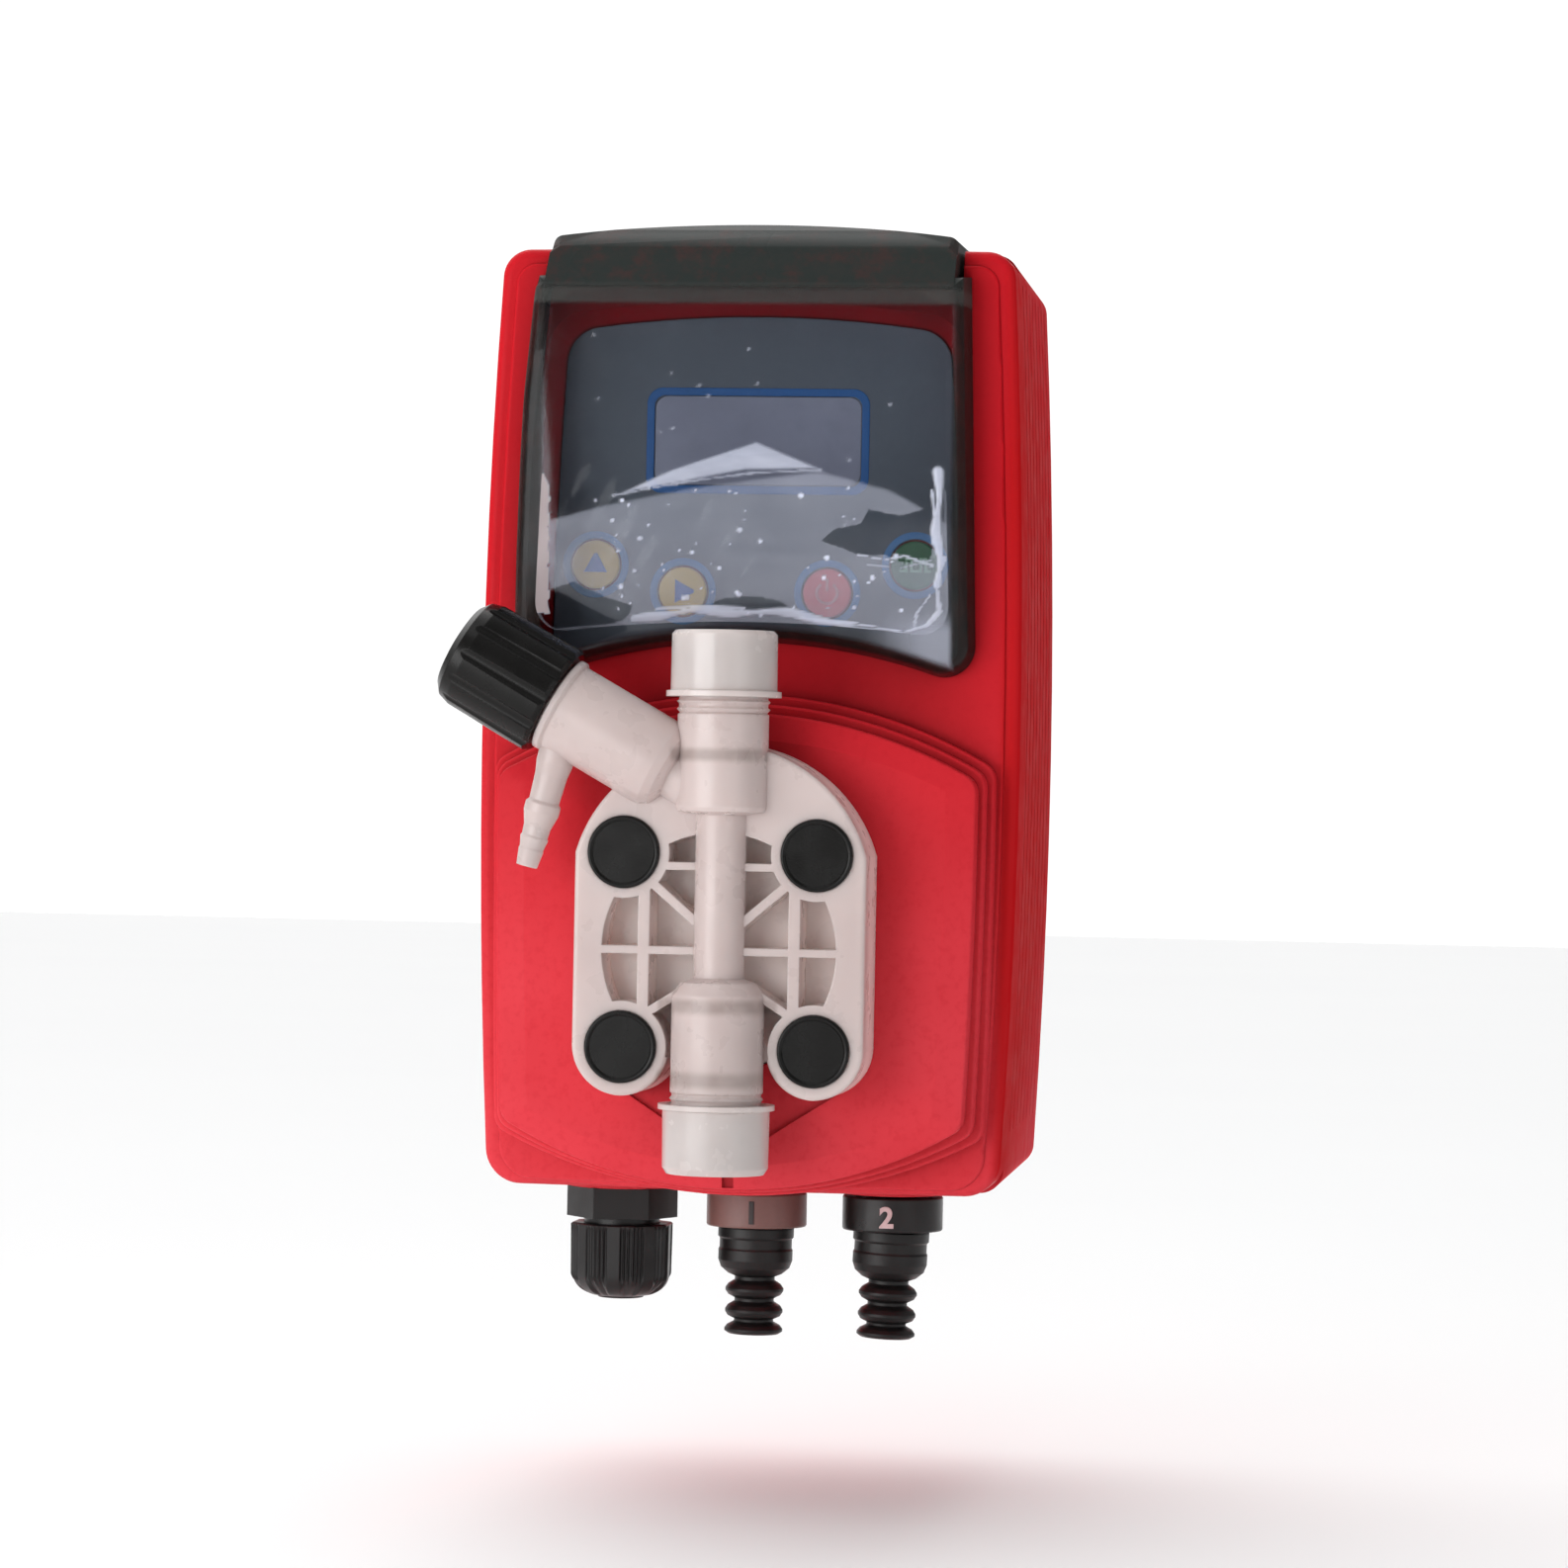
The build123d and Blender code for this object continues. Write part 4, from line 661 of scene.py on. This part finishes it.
def make_cover(M):
    o = node_copy("display_cover", "cover_shell")
    bm = bmesh.new()
    bm.from_mesh(o.data)
    bmesh.ops.remove_doubles(bm, verts=bm.verts, dist=1e-6)
    for z in range(6, 52, 2):
        bmesh.ops.bisect_plane(bm, geom=bm.verts[:] + bm.edges[:] + bm.faces[:], dist=1e-7,
                               plane_co=(0, 0, z * MM), plane_no=(0, 0, 1))
    for v in bm.verts:
        d, x, z = -v.co.y / MM, v.co.x / MM, v.co.z / MM
        if z < 83.4 and x < -34:
            out = 0.8 + 1.3 * min(1.0, max(0.0, (82 - z) / 22)) - 0.2 * max(0.0, (30 - z) / 24)
            v.co.x -= out * min(1.0, (-34 - x) / 6.0) * min(1.0, (83.4 - z) / 1.0) * MM
        if d > COVER_BASE and z < 50:
            v.co.y += bow(z) * min(1.0, (d - COVER_BASE) / 6.0) * MM
    # round the outer corners of the part that wraps over the case
    corner = [e for e in bm.edges if e.is_manifold and all(v.co.z > 0.086 and abs(v.co.x) > 0.0385 for v in e.verts)
              and e.calc_face_angle(0) > math.radians(50) and e.calc_length() > 0.003
              and abs((e.verts[0].co - e.verts[1].co).normalized().y) > 0.5 and is_outer(e)]
    bmesh.ops.bevel(bm, geom=corner, offset=0.0017, offset_type="OFFSET", segments=5, profile=0.5, affect="EDGES",
                    clamp_overlap=True)
    bmesh.ops.recalc_face_normals(bm, faces=bm.faces)
    bm.to_mesh(o.data)
    bm.free()
    soften(o.data, 24.0)
    o.data.materials.clear()
    o.data.materials.append(M["smoke"])
    put(o, "cover", "smoked_clear", "display_cover")


def seg_dist(px, pz, a, b):
    vx, vz = b[0] - a[0], b[1] - a[1]
    t = max(0.0, min(1.0, ((px - a[0]) * vx + (pz - a[1]) * vz) / (vx * vx + vz * vz)))
    return math.hypot(px - a[0] - t * vx, pz - a[1] - t * vz), t


def inside(px, pz, poly):
    hit = False
    n = len(poly)
    for i in range(n):
        (x0, z0), (x1, z1) = poly[i], poly[(i + 1) % n]
        if (z0 > pz) != (z1 > pz) and px < x0 + (pz - z0) * (x1 - x0) / (z1 - z0):
            hit = not hit
    return hit


def edge_dist(px, pz, poly):
    return min(seg_dist(px, pz, poly[i], poly[(i + 1) % len(poly)])[0] for i in range(len(poly)))


# creases of the protective film: points (x, z), half width, height, how white (a painted highlight along the crease),
# in mm
CREASES = [
    (((-21.5, 18.6), (-15.0, 19.6), (-9.9, 20.5), (-2.0, 20.1), (5.0, 20.4), (9.3, 20.2), (17.0, 18.6), (24.6, 16.7)),
     1.35, 0.25, 0.62),
    (((-17.0, 20.6), (-8.0, 21.3), (0.0, 21.0)), 0.45, 0.15, 0.6),
    (((11.0, 19.2), (22.0, 18.4), (30.0, 16.9)), 0.5, 0.2, 0.75),
    (((-25.6, 42.3), (-12.0, 45.0), (2.0, 47.0), (14.6, 47.6)), 0.35, 0.15, 0.35),
    (((37.2, 47.5), (37.6, 42.0), (37.0, 36.0), (37.9, 30.5), (37.4, 26.0)), 1.35, 0.22, 0.66),
    (((36.2, 44.0), (36.9, 38.0), (36.2, 33.5)), 0.4, 0.15, 0.6),
    (((38.6, 31.0), (37.2, 26.5), (37.9, 21.0), (35.5, 18.2), (31.5, 17.0)), 0.8, 0.2, 0.6),
    (((36.0, 24.0), (33.5, 20.5), (33.0, 18.0)), 0.4, 0.15, 0.6),
    (((22.0, 31.6), (27.0, 30.6), (31.0, 31.4), (36.5, 29.6)), 0.35, 0.15, 0.55),
    (((24.0, 29.6), (30.0, 29.0), (36.0, 30.6)), 0.3, 0.12, 0.4),
]
# a tilted fold of the film: lifted, and painted white as a painted highlight
FACET_HIGHLIGHT = ((-25.6, 42.3), (-14.0, 47.6), (2.1, 53.0), (8.0, 50.6), (15.0, 47.8), (0.0, 47.4))
# patches left out of the painted reflection, where dark things are reflected
DARK = [
    ((15.0, 34.0), (17.5, 36.4), (22.5, 37.4), (24.0, 40.2), (30.0, 39.0), (36.8, 41.0), (37.0, 36.0), (36.0, 31.0),
     (31.0, 30.0), (27.0, 31.6), (22.5, 31.2), (19.5, 32.6)),
    ((-38.8, 15.0), (-38.5, 24.0), (-33.0, 25.6), (-27.0, 22.8), (-21.5, 21.2), (-23.0, 18.6), (-30.0, 16.4)),
    [(1.0 + 8.2 * math.cos(math.radians(a)), 20.6 + 2.7 * math.sin(math.radians(a))) for a in range(0, 181, 15)],
]
# the line below which the film carries a painted reflection
HORIZON = ((-40.0, 37.0), (-29.4, 40.2), (-10.2, 44.2), (2.2, 46.0), (14.6, 47.6), (28.0, 44.2), (36.7, 39.6), (40.0, 37.5))


def horizon(x):
    for (x0, z0), (x1, z1) in zip(HORIZON, HORIZON[1:]):
        if x <= x1:
            t = max(0.0, (x - x0) / (x1 - x0))
            return z0 + (z1 - z0) * t
    return HORIZON[-1][1]


def make_film(M):
    rnd = random.Random(7)
    bubbles = []
    for _ in range(64):
        x, z = rnd.uniform(-32, 33), rnd.uniform(19, 45)
        if z < horizon(x) + 1.5:
            bubbles.append((x, z, rnd.choice((0.06, 0.1, 0.15, 0.2, 0.3, 0.42)), rnd.uniform(0.7, 1.0)))
    for _ in range(12):
        bubbles.append((rnd.uniform(-30, 34), rnd.uniform(46, 80), rnd.uniform(0.1, 0.3), 0.25))
    nx, nz = 220, 190
    top, w, r = 81.6, 38.3, 6.5
    grid, haze_and_painted_glare, painted_beige_highlight = [], [], []
    for i in range(nz + 1):
        t = i / nz
        row = []
        for j in range(nx + 1):
            s = 2 * j / nx - 1
            down, up = t * 64.0, (1 - t) * 64.0
            half = w
            for e in (down, up):
                if e < r:
                    half = min(half, w - (r - math.sqrt(max(0.0, r * r - (r - e) ** 2))))
            lean = (2.6 if s < 0 else 1.6) * (1 - t) ** 1.3
            x = -0.15 + s * (half + lean)
            zb = 15.8 + 2.6 * (1 - (x / 38.0) ** 2)
            z = zb + (top - zb + 0.8 * (1 - (x / 38) ** 2)) * t
            calm = 0.15 + 0.85 * min(1.0, max(0.0, (52 - z) / 12))
            lift = 0.10 + calm * (0.05 * math.sin(x * 0.33 + z * 0.21) + 0.04 * math.sin(x * 0.9 - z * 0.5 + 1.3))
            white = 0.0
            # painted reflection: below this line the film is painted pale, apart from where it touches the cover
            under = horizon(x) - z
            if under > 0 and x > -38.1 + 0.2 * math.sin(z * 1.1):
                white = 0.22 * min(1.0, under / 0.8)
            for poly in DARK:
                if inside(x, z, poly):
                    white = 0.0
            if inside(x, z, FACET_HIGHLIGHT):
                e = edge_dist(x, z, FACET_HIGHLIGHT)
                white = max(white, 0.5 * min(1.0, e / 0.5))
                lift += min(0.35, e * 0.12)
            for pts, hw, up_, wh in CREASES:
                best = 1e9
                for a, b in zip(pts, pts[1:]):
                    if abs(x - a[0]) > 16 and abs(x - b[0]) > 16:
                        continue
                    dd, _t = seg_dist(x, z, a, b)
                    best = min(best, dd)
                wob = hw * (0.78 + 0.3 * math.sin(x * 0.42 + z * 0.5 + hw * 9))
                if best < wob:
                    k = 0.5 + 0.5 * math.cos(math.pi * best / wob)
                    lift += up_ * k
                    white = max(white, wh * min(1.0, k * 2.2))
            # bubbles: lifted, and whitened both as air under the film and as painted highlight
            for bx, bz, br, bw in bubbles:
                dd = math.hypot(x - bx, z - bz)
                if dd < br + 0.25:
                    k = min(1.0, (br + 0.25 - dd) / 0.3)
                    lift += 0.12 * k
                    white = max(white, bw * k)
            # a faint rim where the film's edge has lifted
            border = min(t, 1 - t) * 64.0
            side = (1 - abs(s)) * half
            if min(border, side) < 0.5 and z < 44:
                white = max(white, 0.12)
            # painted highlight: a brownish pale strip along the film's left edge
            if -41.5 < x < -38.1 + 0.15 * math.sin(z * 1.7) and 19.5 < z < 46.4 - 1.2 * (x + 39.6) ** 2:
                painted_tan_highlight = 0.8
            else:
                painted_tan_highlight = 0.0
            painted_beige_highlight.append(painted_tan_highlight)
            row.append((x, -(COVER_D - bow(z) + lift), z))
            haze_and_painted_glare.append(white)
        grid.append(row)
    o = rows("protective_film", grid, M["film_clear"], smooth_angle=60.0)
    fix_normals(o)
    a = o.data.attributes.new("haze_and_painted_glare", "FLOAT", "POINT")
    a.data.foreach_set("value", haze_and_painted_glare)
    a = o.data.attributes.new("painted_beige_highlight", "FLOAT", "POINT")
    a.data.foreach_set("value", painted_beige_highlight)
    put(o, "cover", "smoked_clear")


# ---------------------------------------------------------------- keypad print

KEYS = {"key_up": (-31.5, 29.6), "key_right": (-14.2, 24.6), "key_red": (14.2, 24.6), "key_green": (31.3, 30.2)}


def make_print(M):
    put(plate("lcd_frame", rounded(-21.9, 21.9, 43.7, 64.3, 3.2, 12), [rounded(-20.4, 20.4, 45.3, 62.8, 2.0, 12)],
              90.28, 90.42, M["blue"]), "case", "keypad_film")
    for k, (x, z) in KEYS.items():
        put(plate(k + "_halo", circle(x, z, 6.5), [circle(x, z, 5.15)], 90.28, 90.40, M["halo"]), "case", "keypad_film")
    x, z = KEYS["key_up"]
    top = 90.74
    put(plate("mark_up", [(x - 2.3, z - 1.5), (x + 2.3, z - 1.5), (x + 0.3, z + 2.2), (x - 0.3, z + 2.2)], [],
              top, top + 0.1, M["ink"]), "key_up", "keypad_film")
    x, z = KEYS["key_right"]
    put(plate("mark_right", [(x - 1.5, z - 2.3), (x + 2.2, z - 0.3), (x + 2.2, z + 0.3), (x - 1.5, z + 2.3)], [],
              top, top + 0.1, M["ink"]), "key_right", "keypad_film")
    x, z = KEYS["key_red"]
    arc = [(x + 2.3 * math.cos(math.radians(a)), z + 2.3 * math.sin(math.radians(a))) for a in range(125, 416, 8)]
    arc += [(x + 1.75 * math.cos(math.radians(a)), z + 1.75 * math.sin(math.radians(a))) for a in range(413, 122, -8)]
    put(plate("mark_power_ring", arc, [], top, top + 0.1, M["mark_pink"]), "key_red", "keypad_film")
    put(plate("mark_power_bar", [(x - 0.28, z + 0.4), (x + 0.28, z + 0.4), (x + 0.28, z + 2.9), (x - 0.28, z + 2.9)], [],
              top, top + 0.1, M["mark_pink"]), "key_red", "keypad_film")
    x, z = KEYS["key_green"]
    wave = [(-3.0, -0.9), (-1.9, -0.9), (-1.9, 1.5), (-0.4, 1.5), (-0.4, -0.9), (0.9, -0.9), (0.9, 1.5), (2.4, 1.5),
            (2.4, -0.9), (3.2, -0.9), (3.2, -1.4), (1.9, -1.4), (1.9, 1.0), (1.4, 1.0), (1.4, -1.4), (-0.9, -1.4),
            (-0.9, 1.0), (-1.4, 1.0), (-1.4, -1.4), (-3.0, -1.4)]
    put(plate("mark_pulse", [(x + a, z + b) for a, b in wave], [], top, top + 0.1, M["mark_pale"]),
        "key_green", "keypad_film")


# ---------------------------------------------------------------- ring numbers

def ring_number(name, text, body, cx, z, size, mat, slot):
    """A plain number wrapped round the front of a connector ring."""
    cu = bpy.data.curves.new(name, "FONT")
    cu.body = text
    cu.size = size
    cu.align_x = "CENTER"
    cu.extrude = 0.00012
    cu.resolution_u = 6
    cu.offset = 0.0002
    t = bpy.data.objects.new(name + "_text", cu)
    me = bpy.data.meshes.new_from_object(t)
    me.name = name
    bpy.data.objects.remove(t)
    bm = bmesh.new()
    bm.from_mesh(me)
    bmesh.ops.remove_doubles(bm, verts=bm.verts, dist=1e-7)
    for i in range(-8, 9):
        bmesh.ops.bisect_plane(bm, geom=bm.verts[:] + bm.edges[:] + bm.faces[:], dist=1e-7,
                               plane_co=(i * 0.0004, 0, 0), plane_no=(1, 0, 0))
    radius = 9.9 * MM
    for v in bm.verts:
        a = v.co.x / radius
        rr = radius + v.co.z
        v.co = Vector((cx * MM + rr * math.sin(a), -0.072 - rr * math.cos(a), z * MM + v.co.y))
    bmesh.ops.recalc_face_normals(bm, faces=bm.faces)
    bm.to_mesh(me)
    bm.free()
    o = bpy.data.objects.new(name, me)
    scene.collection.objects.link(o)
    me.materials.clear()
    me.materials.append(mat)
    soften(me, 30)
    put(o, body, slot)


# ---------------------------------------------------------------- gland nut and boots

def make_gland_nut(M):
    """Clamping nut: eight flats, fine ribs in groups at the corners, a lobed dome and a round mouth."""
    cx, cy = -27.0, -72.0
    n = 576

    def outline(a, k):
        """k: 1 along the grip, 0 at the mouth"""
        seg = math.pi / 4
        u = ((a + seg / 2) % seg) / seg - 0.5          # -0.5..0.5 across a flat
        poly = math.cos(seg / 2) / math.cos(u * seg) * 1.045
        r = 10.0 * min(poly, 1.035)
        rib = 0.0
        if abs(u) > 0.17:
            rib = 0.55 * abs(math.sin(math.pi * (abs(u) - 0.17) / 0.11)) ** 0.7
        return r, rib, u

    grid = []
    zs = [(-100.15, 0.965, 0), (-100.45, 1.0, 0), (-100.9, 1.0, 0.6), (-101.3, 1.0, 1)]
    zs += [(-101.3 - i * 0.9, 1.0 - 0.0012 * i, 1) for i in range(1, 11)]
    for z, sc, ribk in zs:
        row = []
        for j in range(n):
            a = 2 * math.pi * j / n
            r, rib, u = outline(a, 1)
            r = r * sc - rib * ribk
            row.append((cx + r * math.cos(a), cy + r * math.sin(a), z))
        grid.append(row)
    z0, r_mouth = zs[-1][0], 4.6
    for i in range(1, 15):
        b = math.pi / 2 * i / 14
        row = []
        for j in range(n):
            a = 2 * math.pi * j / n
            r, rib, u = outline(a, 1)
            fade = max(0.0, 1 - i / 4)
            lobe = 1.0 * math.sin(b * 2) ** 1.5 * min(1.0, max(0.0, (abs(u) - 0.2) / 0.12))
            rr = r_mouth + (r * 0.988 - r_mouth) * math.cos(b) - rib * fade - lobe
            row.append((cx + rr * math.cos(a), cy + rr * math.sin(a), z0 - (-z0 - 0 + 0) * 0 - 4.3 * math.sin(b)))
        grid.append(row)
    zl = z0 - 4.3
    for rr, z in ((4.55, zl - 0.25), (4.35, zl - 0.4), (3.85, zl - 0.4), (3.65, zl - 0.2), (3.62, zl + 0.6),
                  (3.62, -109.0), (3.62, -106.0), (7.2, -104.5), (7.6, -104.0), (7.6, -100.15)):
        grid.append([(cx + rr * math.cos(2 * math.pi * j / n), cy + rr * math.sin(2 * math.pi * j / n), z)
                     for j in range(n)])
    grid.append(grid[0])
    o = rows("gland_nut_ribbed", grid[:-1], M["black"], closed=True, smooth_angle=38.0)
    # close the top edge between the first and last rows
    bm = bmesh.new()
    bm.from_mesh(o.data)
    bm.verts.ensure_lookup_table()
    m = len(grid) - 2
    for j in range(n):
        k = (j + 1) % n
        bm.faces.new((bm.verts[m * n + j], bm.verts[m * n + k], bm.verts[k], bm.verts[j]))
    bmesh.ops.recalc_face_normals(bm, faces=bm.faces)
    bm.to_mesh(o.data)
    bm.free()
    soften(o.data, 38.0)
    put(o, "gland_nut", "black_plastic", "gland_nut")


def make_boots(M):
    """The level connector's boot hangs a little to the left, the input one a touch."""
    for node, cx, deg in (("level_boot", 27.1, 2.3), ("input_boot", 0.0, 0.6)):
        o = node_copy(node, node + "_hung")
        pivot = Matrix.Translation((cx * MM, -0.072, -0.0965))
        o.data.transform(pivot @ Matrix.Rotation(math.radians(deg), 4, "Y") @ pivot.inverted())
        low = min(v.co.z for v in o.data.vertices)
        lift = max(0.0, CAD_BOX[0][2] + 0.00002 - low)
        for v in o.data.vertices:
            v.co.z += lift
        o.data.materials.clear()
        o.data.materials.append(M["rubber"])
        put(o, {"level_boot": "level_plug", "input_boot": "input_plug"}[node], "black_rubber", node)


def make_spring(M):
    """The return spring: a steel copy of the part's mesh, shown in its place."""
    o = node_copy("return_spring", "return_spring_coil")
    o.data.materials.clear()
    o.data.materials.append(M["steel"])
    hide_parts("return_spring")
    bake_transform(o)


def make_cover_rims(M):
    """Rolled rims of the four snap-in screw covers."""
    front_d = -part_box("screw_covers")[0][1] / MM
    half = 36.7 / 2
    verts, faces = [], []
    prof = ((6.83, -0.5), (6.83, 0.0), (6.72, 0.24), (6.45, 0.34), (6.1, 0.26), (5.85, 0.06), (5.7, -0.2))
    n = 72
    for cx, cz in ((-half, -44.3 - half), (half, -44.3 - half), (-half, -44.3 + half), (half, -44.3 + half)):
        base = len(verts)
        for r, h in prof:
            verts += [(cx + r * math.cos(2 * math.pi * i / n), -(front_d + h), cz + r * math.sin(2 * math.pi * i / n))
                      for i in range(n)]
        m = len(prof)
        for p in range(m):
            q = (p + 1) % m
            faces += [(base + p * n + i, base + p * n + (i + 1) % n, base + q * n + (i + 1) % n, base + q * n + i)
                      for i in range(n)]
    o = obj_from("screw_cover_rims", verts, faces, M["knob"], smooth_angle=60.0)
    fix_normals(o)
    put(o, "case", "black_plastic")


camera()
stage()
M = make_materials()
dress(M)
make_cover(M)
make_film(M)
make_print(M)
ring_number("number_1", "1", "input_ring", 0.4, -98.9, 0.0060, M["ink_dark"], "black_plastic")
ring_number("number_2", "2", "level_ring", 27.1, -98.9, 0.0056, M["ink_pale"], "grey_ring")
make_gland_nut(M)
make_boots(M)
make_cover_rims(M)
make_spring(M)
